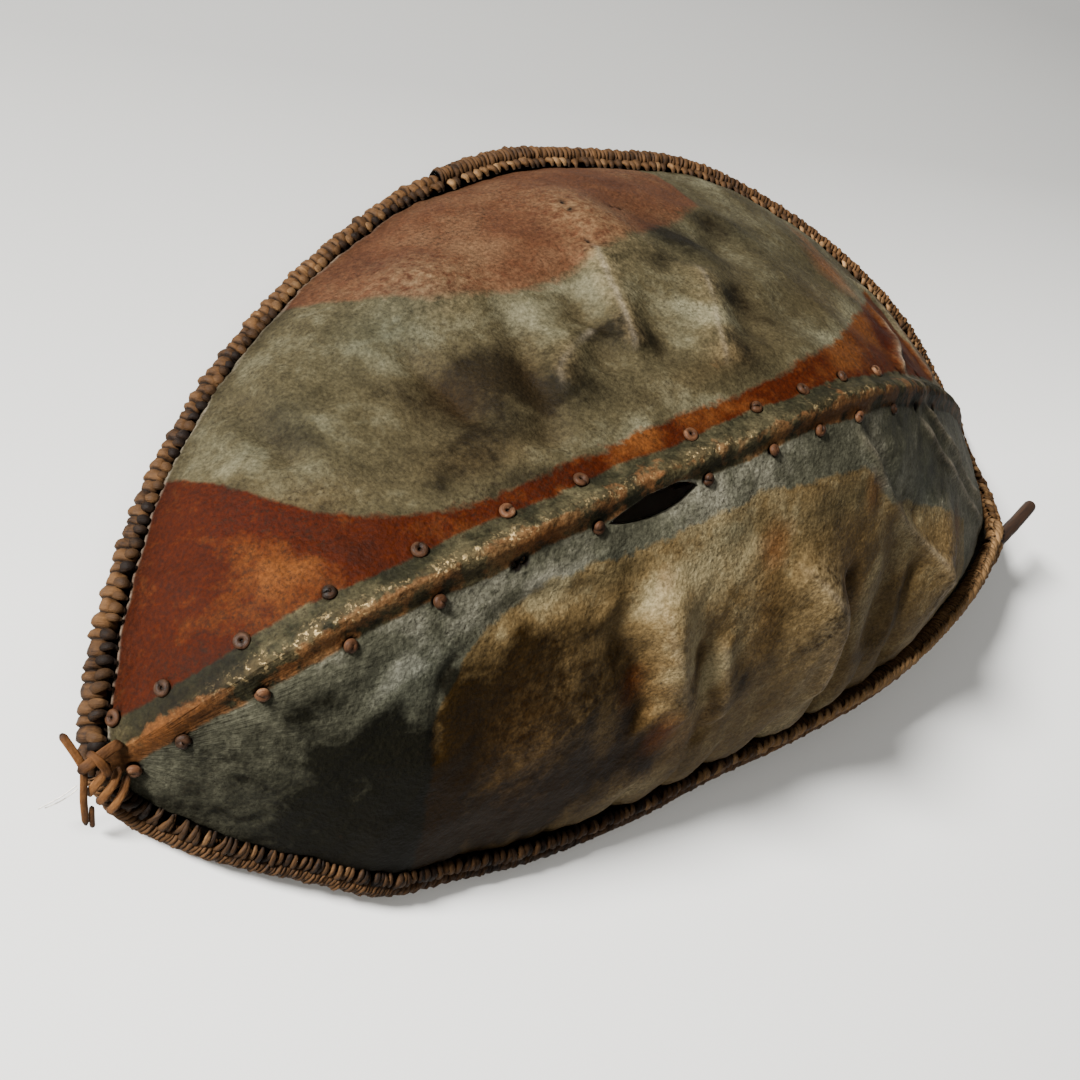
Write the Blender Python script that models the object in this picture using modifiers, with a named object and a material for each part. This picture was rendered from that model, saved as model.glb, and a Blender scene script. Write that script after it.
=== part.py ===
"""Hide shield, lying face up on a flat surface.

One stiff rawhide panel is domed over a long wooden stave.  Its edge is sewn into a rolled
rim of rods bound with hide thong, and thong lashings tie the stave to the hide in pairs of
holes on both sides of the rib.  Metres, +Z up.  X runs along the stave, +Y is the wide side.
The origin is the middle of the shield's footprint, on the surface it lies on.
"""
import math

import bmesh
import bpy
import numpy as np
from mathutils import Matrix, Vector

# ---------------------------------------------------------------- driving dimensions
GAP = 0.0003                 # clearance between touching pieces
HIDE_THICKNESS = 0.004
ROLL_RADIUS = 0.006          # bound rim: rods and their thong together
RIM_INSET = 0.0035           # the stations follow the rim's outer line, the roll lies inside it
CUTTER_SLACK = 1.1           # the hide's groove clears the roll's faceted skin by this factor
ROD_RADIUS = 0.0043          # bare rim rod where it pokes out
ROD_SOCKET = 0.020
ROD_TIP = (0.486, -0.103, 0.060)
# what each length of roll gives up at its two ends, where the rim turns a corner
ROLL_TRIMS = {"rim_roll_near_left": (0.0040, 0.0008), "rim_roll_near": (0.0008, 0.0060),
              "rim_roll_far_right": (0.0190, 0.0008), "rim_roll_far_left": (0.0008, 0.0040)}
THONG_RADIUS = 0.0016
KNOB_RADIUS = 0.0040
KNOB_HEIGHT = 0.0028
LACE_PLAY = 0.0011           # how loosely the thongs go round the stave
HOLE_RADIUS = 0.0025
LACE_OFFSET = 0.0145         # lace holes from the middle of the rib
RIDGE_HALF_WIDTH = 0.0085
RIDGE_HEIGHT = 0.005
THREAD_RADIUS = 0.0008

# the middle of the outline's box, at its foot, taken off every position to become the origin
FOOTPRINT_MIDDLE = Vector((0.0062, 0.0713, 0.0003))

# rim stations, outer line of the roll: x, y and the height of the roll's middle
LEFT_TIP = (-0.475, 0.000, 0.020)
RIGHT_TIP = (0.500, -0.006, 0.007)
FAR_JOINT = (-0.069, 0.310, 0.0065)
NEAR_CORNER = (-0.330, -0.136, 0.012)
SHOULDER = (0.417, -0.119, 0.050)
FAR_LEFT_STATIONS = [(-0.457, 0.038, 0.020), (-0.424, 0.091, 0.019), (-0.378, 0.146, 0.016),
                     (-0.317, 0.197, 0.013), (-0.226, 0.253, 0.010), (-0.116, 0.300, 0.008)]
FAR_RIGHT_STATIONS = [(0.020, 0.322, 0.007), (0.138, 0.310, 0.015), (0.203, 0.296, 0.023),
                      (0.294, 0.249, 0.029), (0.383, 0.174, 0.033), (0.440, 0.107, 0.029),
                      (0.475, 0.047, 0.018)]
NEAR_LEFT_STATIONS = [(-0.463, -0.027, 0.010), (-0.425, -0.070, 0.012),
                      (-0.369, -0.112, 0.015)]
NEAR_STATIONS = [(-0.279, -0.148, 0.008), (-0.229, -0.159, 0.0065), (-0.125, -0.172, 0.012),
                 (-0.036, -0.174, 0.022), (0.062, -0.179, 0.032), (0.183, -0.176, 0.045),
                 (0.312, -0.154, 0.052), (0.378, -0.134, 0.052)]
NEAR_RIGHT_STATIONS = [(0.446, -0.091, 0.040), (0.484, -0.027, 0.015)]

# the rib over the stave, from tip to tip: x, y, z of the hide's mid-surface
RIB_STATIONS = [LEFT_TIP, (-0.440, 0.010, 0.070), (-0.374, 0.024, 0.131),
                (-0.265, 0.033, 0.163), (-0.127, 0.040, 0.189), (0.025, 0.045, 0.207),
                (0.160, 0.037, 0.178), (0.320, 0.018, 0.112), (0.450, 0.000, 0.038), RIGHT_TIP]

# how round a cross-section is from rib to rim, 0 for straight and 1 for a quarter ellipse
FAR_FULLNESS = [(-0.475, 0.30), (-0.30, 0.45), (-0.10, 0.45), (0.10, 0.42), (0.25, 0.36),
                (0.38, 0.30), (0.50, 0.30)]
NEAR_FULLNESS = [(-0.475, 0.30), (-0.33, 0.42), (-0.10, 0.55), (0.10, 0.58), (0.35, 0.60),
                 (0.50, 0.50)]

# broad dents (-) and swells (+) of the dried hide: x, y, half length, half width, turn, height
RELIEF = [(-0.252, 0.126, 0.070, 0.045, 30, -0.007), (-0.125, 0.140, 0.055, 0.035, 70, -0.006),
          (0.047, 0.205, 0.060, 0.035, -30, -0.007), (0.040, 0.118, 0.060, 0.030, 10, -0.005),
          (-0.040, 0.225, 0.060, 0.040, 60, 0.005), (-0.190, 0.200, 0.050, 0.040, 20, 0.005),
          (-0.130, -0.075, 0.060, 0.045, 0, -0.005), (0.000, -0.090, 0.040, 0.060, 20, 0.008),
          (0.190, -0.100, 0.045, 0.060, -15, 0.009), (0.100, -0.110, 0.028, 0.060, 0, -0.006)]
RELIEF_START = 0.020         # relief fades in from here, measured from the rib's middle
RELIEF_FULL = 0.045

# the stave under the rib
STAVE_START = -0.452
STAVE_END = 0.462
STAVE_HALF_WIDTH = 0.009
STAVE_TOP = 0.0065           # below the hide's mid-surface, along the rib's normal
STAVE_SHOULDER = 0.0100
STAVE_BOTTOM = 0.0160
GRIP_MIDDLE = -0.163
GRIP_HALF_LENGTH = 0.110
GRIP_DROP = 0.032            # the stave stands off the hide here for the fingers

# lashing places along the rib, and the one that has lost its near half
LACE_STATIONS = [-0.458, -0.440, -0.408, -0.368, -0.317, -0.260, -0.208, -0.119, -0.060,
                 -0.013, 0.035, 0.094]
BROKEN_LACE = 5
EMPTY_HOLES = [0.150, 0.203]

# the slit beside the rib, over the grip
SLIT_START = -0.196
SLIT_END = -0.130
SLIT_OFFSET = -0.0155
SLIT_WIDTH = 0.0065

# thongs tied round the left tip: two loose ends and two hoops round the roll
TIE_RADIUS = 0.0021
TIE_ENDS = {"tip_tie_far": [(-0.488, 0.024, 0.0310), (-0.482, 0.013, 0.0305),
                            (-0.476, 0.004, 0.0305), (-0.469, -0.003, 0.0400)],
            "tip_tie_near": [(-0.486, -0.032, 0.008), (-0.487, -0.020, 0.014),
                             (-0.488, -0.010, 0.022), (-0.487, 0.000, 0.027)]}
HOOP_REACH = 80              # degrees each way from the outside of the roll
THREAD_STATIONS = [(0.441, 0.012, 0.060), (0.452, 0.008, 0.052), (0.463, -0.002, 0.043),
                   (0.467, -0.012, 0.038)]

# mesh density
HIDE_ROWS = 35
RIDGE_COLUMNS = [0.0062, 0.0105, 0.0200]     # off the rib's middle
HALF_COLUMNS = 9                             # from there to the rim
RIM_STEP = 0.028
STAVE_RINGS = 34
TUBE_SIDES_LEVEL = 2

DULL = 0.62
COLOURS = {"hide": (0.16, 0.10, 0.065), "thong": (0.17, 0.085, 0.045),
           "wood": (0.09, 0.052, 0.032), "thread": (0.72, 0.68, 0.60)}


# ---------------------------------------------------------------- scene helpers
def clear_scene():
    for item in list(bpy.data.objects):
        bpy.data.objects.remove(item, do_unlink=True)


def new_collection(name):
    collection = bpy.data.collections.new(name)
    bpy.context.scene.collection.children.link(collection)
    return collection


def new_material(name, kind):
    material = bpy.data.materials.new(name)
    material.use_nodes = True
    shader = material.node_tree.nodes["Principled BSDF"]
    shader.inputs["Base Color"].default_value = (*COLOURS[kind], 1.0)
    shader.inputs["Roughness"].default_value = DULL
    shader.inputs["Metallic"].default_value = 0.0
    return material


def add_object(name, data, collection, kind):
    item = bpy.data.objects.new(name, data)
    item.location = -FOOTPRINT_MIDDLE
    collection.objects.link(item)
    if kind:
        data.materials.append(new_material(name, kind))
    else:
        item.hide_render = True
        item.display_type = "WIRE"
    return item


# ---------------------------------------------------------------- curves in space
def smooth_line(stations, step):
    """A centripetal Catmull-Rom line through the stations, a point about every step."""
    pts = np.array(stations, float)
    pts = np.vstack([2 * pts[0] - pts[1], pts, 2 * pts[-1] - pts[-2]])
    line = []
    for p0, p1, p2, p3 in zip(pts, pts[1:], pts[2:], pts[3:]):
        a, b, c = (math.sqrt(np.linalg.norm(v)) for v in (p1 - p0, p2 - p1, p3 - p2))
        m1 = ((p1 - p0) / a - (p2 - p0) / (a + b) + (p2 - p1) / b) * b
        m2 = ((p2 - p1) / b - (p3 - p1) / (b + c) + (p3 - p2) / c) * b
        count = max(1, round(np.linalg.norm(p2 - p1) / step))
        for t in np.arange(count) / count:
            line.append((2 * t**3 - 3 * t**2 + 1) * p1 + (t**3 - 2 * t**2 + t) * m1
                        + (3 * t**2 - 2 * t**3) * p2 + (t**3 - t**2) * m2)
    line.append(pts[-2])
    return np.array(line)


def inset(line):
    """The roll's middle: the closed outer line moved in, square to itself, in plan."""
    ring = line[:-1]
    ahead = (np.roll(ring, -1, axis=0) - np.roll(ring, 1, axis=0))[:, :2]
    ahead = np.vstack([ahead, ahead[:1]])
    ahead /= np.linalg.norm(ahead, axis=1)[:, None]
    inward = np.stack([-ahead[:, 1], ahead[:, 0]], axis=1)
    middle = line.copy()
    middle[:, :2] += RIM_INSET * inward
    return middle


def rim_line(step):
    """The whole rim as one loop of points, anticlockwise from the left tip."""
    loop = [LEFT_TIP, *NEAR_LEFT_STATIONS, NEAR_CORNER, *NEAR_STATIONS, SHOULDER,
            *NEAR_RIGHT_STATIONS, RIGHT_TIP, *reversed(FAR_RIGHT_STATIONS), FAR_JOINT,
            *reversed(FAR_LEFT_STATIONS), LEFT_TIP]
    return inset(smooth_line(loop, step))


def nearest_index(line, station):
    return int(np.argmin(np.linalg.norm(line - np.array(station), axis=1)))


def straight_table(rows, x):
    xs, values = np.array(rows).T
    return np.interp(x, xs, values)


# ---------------------------------------------------------------- the domed hide
FINE_STEP = 0.004
RIB_LINE = smooth_line(RIB_STATIONS, FINE_STEP)
RIM_FINE = rim_line(FINE_STEP)
RIGHT_TIP_INDEX = int(np.argmax(RIM_FINE[:, 0]))
NEAR_EDGE = RIM_FINE[:RIGHT_TIP_INDEX + 1]
FAR_EDGE = RIM_FINE[RIGHT_TIP_INDEX:][::-1]


def on_line(line, x):
    return np.interp(x, line[:, 0], line[:, 1]), np.interp(x, line[:, 0], line[:, 2])


def relief(x, y, off_rib, off_rim):
    """Height of the broad dents and swells, fading out at the rib and at the rim."""
    height = np.zeros_like(x)
    for cx, cy, length, width, turn, depth in RELIEF:
        c, s = math.cos(math.radians(turn)), math.sin(math.radians(turn))
        u = ((x - cx) * c + (y - cy) * s) / length
        v = ((y - cy) * c - (x - cx) * s) / width
        height += depth * np.exp(-2.0 * (u * u + v * v))
    rib_fade = np.clip((off_rib - RELIEF_START) / (RELIEF_FULL - RELIEF_START), 0, 1)
    rim_fade = np.clip(off_rim / RELIEF_FULL, 0, 1)
    return height * rib_fade * rim_fade


def base_surface(x, t, side):
    """Mid-surface without relief: t is 0 on the rib and 1 on the rim, side +1 far, -1 near."""
    rib_y, rib_z = on_line(RIB_LINE, x)
    rim_y, rim_z = on_line(FAR_EDGE if side > 0 else NEAR_EDGE, x)
    full = straight_table(FAR_FULLNESS if side > 0 else NEAR_FULLNESS, x)
    turn = t * math.pi / 2
    y = rib_y + (rim_y - rib_y) * (full * np.sin(turn) + (1 - full) * t)
    z = rim_z + (rib_z - rim_z) * (full * np.cos(turn) + (1 - full) * (1 - t))
    off_rib = np.abs(y - rib_y)
    width = np.abs(rim_y - rib_y)
    z = z + RIDGE_HEIGHT * np.clip(width / 0.06, 0, 1) * np.exp(-(off_rib / RIDGE_HALF_WIDTH)**4)
    return np.stack([x, y, z], axis=-1), off_rib, width - off_rib


def surface(x, t, side):
    """Mid-surface with relief pushed along the surface's own normal."""
    x, t = np.broadcast_arrays(np.asarray(x, float), np.asarray(t, float))
    here, off_rib, off_rim = base_surface(x, t, side)
    normal = surface_normal(x, t, side)
    height = relief(here[..., 0], here[..., 1], off_rib, off_rim)
    return here + normal * height[..., None]


def surface_normal(x, t, side):
    eps = 0.002
    along = base_surface(x + eps, t, side)[0] - base_surface(x - eps, t, side)[0]
    out = base_surface(x, t + eps, side)[0] - base_surface(x, t - eps, side)[0]
    normal = np.cross(along, out) * side
    return normal / np.linalg.norm(normal, axis=-1, keepdims=True)


def t_at_offset(x, offset):
    """Where a section is this far, in plan, from the rib's middle."""
    side = 1 if offset > 0 else -1
    ts = np.linspace(0.0, 1.0, 400)
    offs = base_surface(np.full_like(ts, x), ts, side)[1]
    return float(np.interp(abs(offset), offs, ts)), side


def hide_frame(x, offset):
    t, side = t_at_offset(x, offset)
    xs, ts = np.array([x]), np.array([t])
    return Vector(surface(xs, ts, side)[0]), Vector(surface_normal(xs, ts, side)[0])


def section_steps(x, side):
    """Where the columns cross a section: close together at the ridge, even beyond it."""
    ts = np.linspace(0.0, 1.0, 400)
    off_rib = base_surface(np.full_like(ts, x), ts, side)[1]
    ridge = np.array(RIDGE_COLUMNS) * min(1.0, off_rib[-1] / 0.06)
    steps = np.interp(ridge, off_rib, ts)
    return np.concatenate([[0.0], steps, np.linspace(steps[-1], 1.0, HALF_COLUMNS + 1)[1:]])


def hide_sheet():
    """Open mid-surface from rim to rim, rows across the shield and columns along it."""
    tip_trim = 0.0035
    start, end = LEFT_TIP[0] + tip_trim, RIGHT_TIP[0] - tip_trim
    turns = np.linspace(0, math.pi, HIDE_ROWS)
    xs = (start + end) / 2 - (end - start) / 2 * np.cos(turns)
    mesh = bmesh.new()
    rows = []
    for x in xs:
        near = surface(x, section_steps(x, -1)[::-1], -1)
        far = surface(x, section_steps(x, 1)[1:], 1)
        rows.append([mesh.verts.new(p) for p in np.vstack([near, far])])
    for low, high in zip(rows, rows[1:]):
        for j in range(len(low) - 1):
            mesh.faces.new((low[j], high[j], high[j + 1], low[j + 1]))
    data = bpy.data.meshes.new("hide_panel")
    mesh.to_mesh(data)
    mesh.free()
    return data


def hole_cutter(cutters):
    """One mesh of short rods, one through each lace hole."""
    mesh = bmesh.new()
    for x in LACE_STATIONS + EMPTY_HOLES:
        for offset in (LACE_OFFSET, -LACE_OFFSET):
            place, normal = hide_frame(x, offset)
            turn = Vector((0, 0, 1)).rotation_difference(normal).to_matrix().to_4x4()
            bmesh.ops.create_cone(mesh, cap_ends=True, segments=8, radius1=HOLE_RADIUS,
                                  radius2=HOLE_RADIUS, depth=3 * HIDE_THICKNESS,
                                  matrix=Matrix.Translation(place) @ turn)
    data = bpy.data.meshes.new("hole_cutter")
    mesh.to_mesh(data)
    mesh.free()
    return add_object("hole_cutter", data, cutters, None)


def slit_cutter(cutters):
    """A thin lens, longer than it is wide, set through the hide beside the rib."""
    middle = (SLIT_START + SLIT_END) / 2
    place, normal = hide_frame(middle, SLIT_OFFSET)
    ahead = hide_frame(SLIT_END, SLIT_OFFSET)[0] - hide_frame(SLIT_START, SLIT_OFFSET)[0]
    length = ahead.length
    x_axis = ahead.normalized()
    y_axis = normal.cross(x_axis).normalized()
    z_axis = x_axis.cross(y_axis)
    frame = Matrix((x_axis, y_axis, z_axis)).transposed().to_4x4()
    mesh = bmesh.new()
    bmesh.ops.create_cone(mesh, cap_ends=True, segments=14, radius1=length / 2,
                          radius2=length / 2, depth=5 * HIDE_THICKNESS,
                          matrix=Matrix.Translation(place) @ frame)
    squash = frame @ Matrix.Diagonal((1, SLIT_WIDTH / length, 1, 1)) @ frame.inverted()
    bmesh.ops.transform(mesh, verts=mesh.verts,
                        matrix=Matrix.Translation(place) @ squash @ Matrix.Translation(-place))
    data = bpy.data.meshes.new("slit_cutter")
    mesh.to_mesh(data)
    mesh.free()
    return add_object("slit_cutter", data, cutters, None)


# ---------------------------------------------------------------- tubes
def tube_curve(name, line, radius, radii=None, closed=False):
    data = bpy.data.curves.new(name, "CURVE")
    data.dimensions = "3D"
    data.bevel_depth = radius
    data.bevel_resolution = TUBE_SIDES_LEVEL
    data.use_fill_caps = not closed
    spline = data.splines.new("POLY")
    spline.points.add(len(line) - 1)
    for i, (point, place) in enumerate(zip(spline.points, line)):
        point.co = (*place, 1.0)
        point.radius = radii[i] / radius if radii is not None else 1.0
    spline.use_cyclic_u = closed
    return data


def as_mesh(item):
    """Replace a curve object by its welded mesh."""
    bpy.context.view_layer.update()
    evaluated = item.evaluated_get(bpy.context.evaluated_depsgraph_get())
    data = bpy.data.meshes.new_from_object(evaluated)
    mesh = bmesh.new()
    mesh.from_mesh(data)
    bmesh.ops.remove_doubles(mesh, verts=mesh.verts, dist=0.00002)
    bmesh.ops.recalc_face_normals(mesh, faces=mesh.faces)
    mesh.to_mesh(data)
    mesh.free()
    data.name = item.name
    name, matrix, collection = item.name, item.matrix_world.copy(), item.users_collection[0]
    hidden, display = item.hide_render, item.display_type
    bpy.data.objects.remove(item, do_unlink=True)
    solid = bpy.data.objects.new(name, data)
    solid.matrix_world = matrix
    solid.hide_render, solid.display_type = hidden, display
    collection.objects.link(solid)
    return solid


def cut(item, cutter, solver="EXACT"):
    modifier = item.modifiers.new("cut", "BOOLEAN")
    modifier.operation = "DIFFERENCE"
    modifier.solver = solver
    modifier.object = cutter


# ---------------------------------------------------------------- pieces
def make_hide(parts, cutters):
    hide = add_object("hide_panel", hide_sheet(), parts, "hide")
    shell = hide.modifiers.new("thickness", "SOLIDIFY")
    shell.thickness = HIDE_THICKNESS
    shell.offset = 0.0
    groove = tube_curve("rim_cutter", rim_line(RIM_STEP)[:-1], ROLL_RADIUS * CUTTER_SLACK,
                        closed=True)
    rim_cutter = as_mesh(add_object("rim_cutter", groove, cutters, None))
    cut(hide, hole_cutter(cutters))
    cut(hide, slit_cutter(cutters))
    cut(hide, rim_cutter, "MANIFOLD")


def make_rim(parts, cutters):
    """Four lengths of bound rod between the tips and the corners of the outline."""
    line = rim_line(RIM_STEP)
    corner, shoulder, joint = (nearest_index(line, s) for s in (NEAR_CORNER, SHOULDER, FAR_JOINT))
    lengths = {"rim_roll_near_left": line[:corner + 1],
               "rim_roll_near": line[corner:shoulder + 1],
               "rim_roll_far_right": line[shoulder:joint + 1],
               "rim_roll_far_left": line[joint:]}
    rolls = {}
    for name, path in lengths.items():
        path = trim(path, *ROLL_TRIMS[name])
        rolls[name] = add_object(name, tube_curve(name, path, ROLL_RADIUS), parts, "thong")
    make_rod_end(rolls["rim_roll_near"], parts, cutters)


def trim(path, start, end):
    """Shorten a line by these lengths at its two ends."""
    path = path.copy()
    path[0] += (path[1] - path[0]) / np.linalg.norm(path[1] - path[0]) * start
    path[-1] += (path[-2] - path[-1]) / np.linalg.norm(path[-2] - path[-1]) * end
    return path


def make_rod_end(roll, parts, cutters):
    """The bare rod that runs on from the near roll, past the shoulder."""
    last, before = roll.data.splines[0].points[-1], roll.data.splines[0].points[-2]
    mouth = last.co.xyz
    ahead = (last.co - before.co).xyz.normalized()
    roll = as_mesh(roll)
    start = mouth - ahead * (ROD_SOCKET - GAP)
    bend = mouth + ahead * 0.012
    tip = Vector(ROD_TIP)
    socket = add_object("rod_socket_cutter", tube_curve(
        "rod_socket_cutter", [mouth - ahead * ROD_SOCKET, mouth + ahead * 0.01],
        ROD_RADIUS * CUTTER_SLACK), cutters, None)
    cut(roll, as_mesh(socket))
    radii = [ROD_RADIUS, ROD_RADIUS, ROD_RADIUS * 1.10, ROD_RADIUS * 1.20]
    curve = tube_curve("rim_rod_end", [start, mouth + ahead * 0.004, bend, tip], ROD_RADIUS,
                       radii)
    add_object("rim_rod_end", curve, parts, "wood")


def rib_frame(x):
    """Point, forward direction and upward normal of the rib in its own length-wise plane."""
    eps = 0.004
    before, here, after = (Vector((v, *on_line(RIB_LINE, v))) for v in (x - eps, x, x + eps))
    ahead = (after - before).normalized()
    across = Vector((0, 1, 0))
    up = ahead.cross(across)
    if up.z < 0:
        up.negate()
    return here, ahead, up.normalized()


def grip_drop(x):
    reach = abs(x - GRIP_MIDDLE) / GRIP_HALF_LENGTH
    return GRIP_DROP * math.cos(reach * math.pi / 2)**2 if reach < 1 else 0.0


def make_stave(parts):
    """A bent stave of half-round section, flat behind, lofted along the rib."""
    w = STAVE_HALF_WIDTH
    section = [(-w, STAVE_BOTTOM), (w, STAVE_BOTTOM), (w, STAVE_SHOULDER),
               (0.55 * w, STAVE_TOP), (-0.55 * w, STAVE_TOP), (-w, STAVE_SHOULDER)]
    mesh = bmesh.new()
    rings = []
    for x in np.linspace(STAVE_START, STAVE_END, STAVE_RINGS):
        here, _, up = rib_frame(x)
        taper = min(1.0, 0.55 + (x - STAVE_START) / 0.08, 0.55 + (STAVE_END - x) / 0.08)
        ring = []
        for side, depth in section:
            depth = STAVE_TOP + (depth - STAVE_TOP) * taper + grip_drop(x)
            ring.append(mesh.verts.new(here + Vector((0, side * taper, 0)) - up * depth))
        rings.append(ring)
    for low, high in zip(rings, rings[1:]):
        for i in range(len(section)):
            j = (i + 1) % len(section)
            mesh.faces.new((low[i], low[j], high[j], high[i]))
    mesh.faces.new(rings[0])
    mesh.faces.new(list(reversed(rings[-1])))
    bmesh.ops.recalc_face_normals(mesh, faces=mesh.faces)
    data = bpy.data.meshes.new("center_stave")
    mesh.to_mesh(data)
    mesh.free()
    add_object("center_stave", data, parts, "wood")


def lace_half(x, side):
    """From the knob on the hide down its hole to the stave's bottom edge on that side."""
    place, normal = hide_frame(x, side * LACE_OFFSET)
    lift = HIDE_THICKNESS / 2 + 4 * GAP
    here, _, up = rib_frame(x)
    drop = grip_drop(x)
    beside = Vector((0, side * (STAVE_HALF_WIDTH + THONG_RADIUS + 3 * GAP), 0))
    under = STAVE_BOTTOM + THONG_RADIUS + LACE_PLAY + drop
    points = [place + normal * (lift + KNOB_HEIGHT), place + normal * lift,
              place + normal * (lift - 0.0006), place - normal * (HIDE_THICKNESS / 2 + 0.003),
              here + beside - up * (STAVE_SHOULDER + 0.001 + drop),
              here + beside * 0.93 - up * (under - 0.0012),
              here + beside * 0.62 - up * under]
    radii = [KNOB_RADIUS * 0.7, KNOB_RADIUS] + [THONG_RADIUS] * 5
    return points, radii


def make_laces(parts):
    for index, x in enumerate(LACE_STATIONS):
        points, radii = lace_half(x, 1)
        if index == BROKEN_LACE:
            points, radii = points[:-1], radii[:-1]
        else:
            others, other_radii = lace_half(x, -1)
            points += others[::-1]
            radii += other_radii[::-1]
        name = f"lace_{index + 1:02d}"
        add_object(name, tube_curve(name, points, THONG_RADIUS, radii), parts, "thong")


def hoop(line, index, radius):
    """Most of a turn round the roll, from above the hide's edge to below it."""
    ahead = Vector(line[index + 1] - line[index - 1]).normalized()
    outward = ahead.cross(Vector((0, 0, 1))).normalized()
    up = outward.cross(ahead)
    turns = np.radians(np.linspace(-HOOP_REACH, HOOP_REACH, 15))
    middle = Vector(line[index])
    return [middle + (outward * math.cos(a) + up * math.sin(a)) * radius for a in turns]


def make_tip_ties(parts):
    """Thongs knotted round the rim at the left tip, and a thread caught in the right one."""
    for name, points in TIE_ENDS.items():
        line = smooth_line(points, 0.006)
        add_object(name, tube_curve(name, line, TIE_RADIUS), parts, "thong")
    rim = rim_line(0.004)
    reach = ROLL_RADIUS + TIE_RADIUS + 3 * GAP
    for name, index in {"tip_hoop_1": 3, "tip_hoop_2": 5}.items():
        add_object(name, tube_curve(name, hoop(rim, index, reach), TIE_RADIUS), parts, "thong")
    loop = smooth_line(THREAD_STATIONS, 0.004)
    add_object("tip_thread", tube_curve("tip_thread", loop, THREAD_RADIUS), parts, "thread")


def main():
    clear_scene()
    parts = new_collection("hide_shield")
    cutters = new_collection("cutters")
    make_hide(parts, cutters)
    make_rim(parts, cutters)
    make_stave(parts)
    make_laces(parts)
    make_tip_ties(parts)


main()
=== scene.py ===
"""Looks for a painted hide shield lying face up.

One domed rawhide panel is sewn into a bound rim and lashed to a bent wooden stave.  Lengths are
metres.  Stations are measured from the middle of the rim's chord, X along the stave, +Y the wide
side, +Z up, and FOOTPRINT_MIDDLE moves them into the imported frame.
"""

import math

import bpy
import numpy as np
from bpy.props import FloatProperty, FloatVectorProperty, IntProperty, PointerProperty
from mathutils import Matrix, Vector, kdtree, noise


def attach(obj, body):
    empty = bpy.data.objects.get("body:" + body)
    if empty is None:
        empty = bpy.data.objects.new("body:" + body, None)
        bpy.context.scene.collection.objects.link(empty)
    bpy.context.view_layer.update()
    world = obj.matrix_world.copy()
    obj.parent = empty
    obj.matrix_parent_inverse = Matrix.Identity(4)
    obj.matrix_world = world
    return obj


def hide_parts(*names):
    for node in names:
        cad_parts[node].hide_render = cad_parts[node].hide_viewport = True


bl_info = {
    "name": "Hide shield",
    "version": (1, 0, 0),
    "blender": (4, 5, 0),
    "location": "View3D > Sidebar > Hide shield",
    "description": "Builds a painted hide shield around its packed frame",
    "category": "Object",
}

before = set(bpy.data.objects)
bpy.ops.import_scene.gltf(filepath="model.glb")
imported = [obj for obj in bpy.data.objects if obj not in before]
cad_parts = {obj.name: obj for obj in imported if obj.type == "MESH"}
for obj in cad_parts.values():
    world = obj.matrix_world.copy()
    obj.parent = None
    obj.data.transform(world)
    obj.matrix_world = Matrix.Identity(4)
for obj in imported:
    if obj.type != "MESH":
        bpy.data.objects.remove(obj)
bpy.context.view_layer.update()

# ------------------------------------------------------------------ the shield's own lines
FOOTPRINT_MIDDLE = np.array((0.0062, 0.0713, 0.0003))
RIM_INSET = 0.0035           # the stations follow the rim's outer line, the roll lies inside it
LEFT_TIP = (-0.475, 0.000, 0.020)
RIGHT_TIP = (0.500, -0.006, 0.007)
FAR_JOINT = (-0.069, 0.310, 0.0065)
NEAR_CORNER = (-0.330, -0.136, 0.012)
SHOULDER = (0.417, -0.119, 0.050)
FAR_LEFT_STATIONS = [(-0.457, 0.038, 0.020), (-0.424, 0.091, 0.019), (-0.378, 0.146, 0.016),
                     (-0.317, 0.197, 0.013), (-0.226, 0.253, 0.010), (-0.116, 0.300, 0.008)]
FAR_RIGHT_STATIONS = [(0.020, 0.322, 0.007), (0.138, 0.310, 0.015), (0.203, 0.296, 0.023),
                      (0.294, 0.249, 0.029), (0.383, 0.174, 0.033), (0.440, 0.107, 0.029),
                      (0.475, 0.047, 0.018)]
NEAR_LEFT_STATIONS = [(-0.463, -0.027, 0.010), (-0.425, -0.070, 0.012),
                      (-0.369, -0.112, 0.015)]
NEAR_STATIONS = [(-0.279, -0.148, 0.008), (-0.229, -0.159, 0.0065), (-0.125, -0.172, 0.012),
                 (-0.036, -0.174, 0.022), (0.062, -0.179, 0.032), (0.183, -0.176, 0.045),
                 (0.312, -0.154, 0.052), (0.378, -0.134, 0.052)]
NEAR_RIGHT_STATIONS = [(0.446, -0.091, 0.040), (0.484, -0.027, 0.015)]
RIB_STATIONS = [LEFT_TIP, (-0.440, 0.010, 0.070), (-0.374, 0.024, 0.131),
                (-0.265, 0.033, 0.163), (-0.127, 0.040, 0.189), (0.025, 0.045, 0.207),
                (0.160, 0.037, 0.178), (0.320, 0.018, 0.112), (0.450, 0.000, 0.038), RIGHT_TIP]
FAR_FULLNESS = [(-0.475, 0.30), (-0.30, 0.45), (-0.10, 0.45), (0.10, 0.42), (0.25, 0.36),
                (0.38, 0.30), (0.50, 0.30)]
NEAR_FULLNESS = [(-0.475, 0.30), (-0.33, 0.42), (-0.10, 0.55), (0.10, 0.58), (0.35, 0.60),
                 (0.50, 0.50)]
RIDGE_HALF_WIDTH = 0.0085
RIDGE_HEIGHT = 0.005
NARROW_SLOPE = 0.06          # on a slope narrower than this the ridge and its fine mesh shrink
FINE_BAND = 0.021            # how far from the rib the mesh is finer, and by how much
FINE_STEP = 0.58

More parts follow.
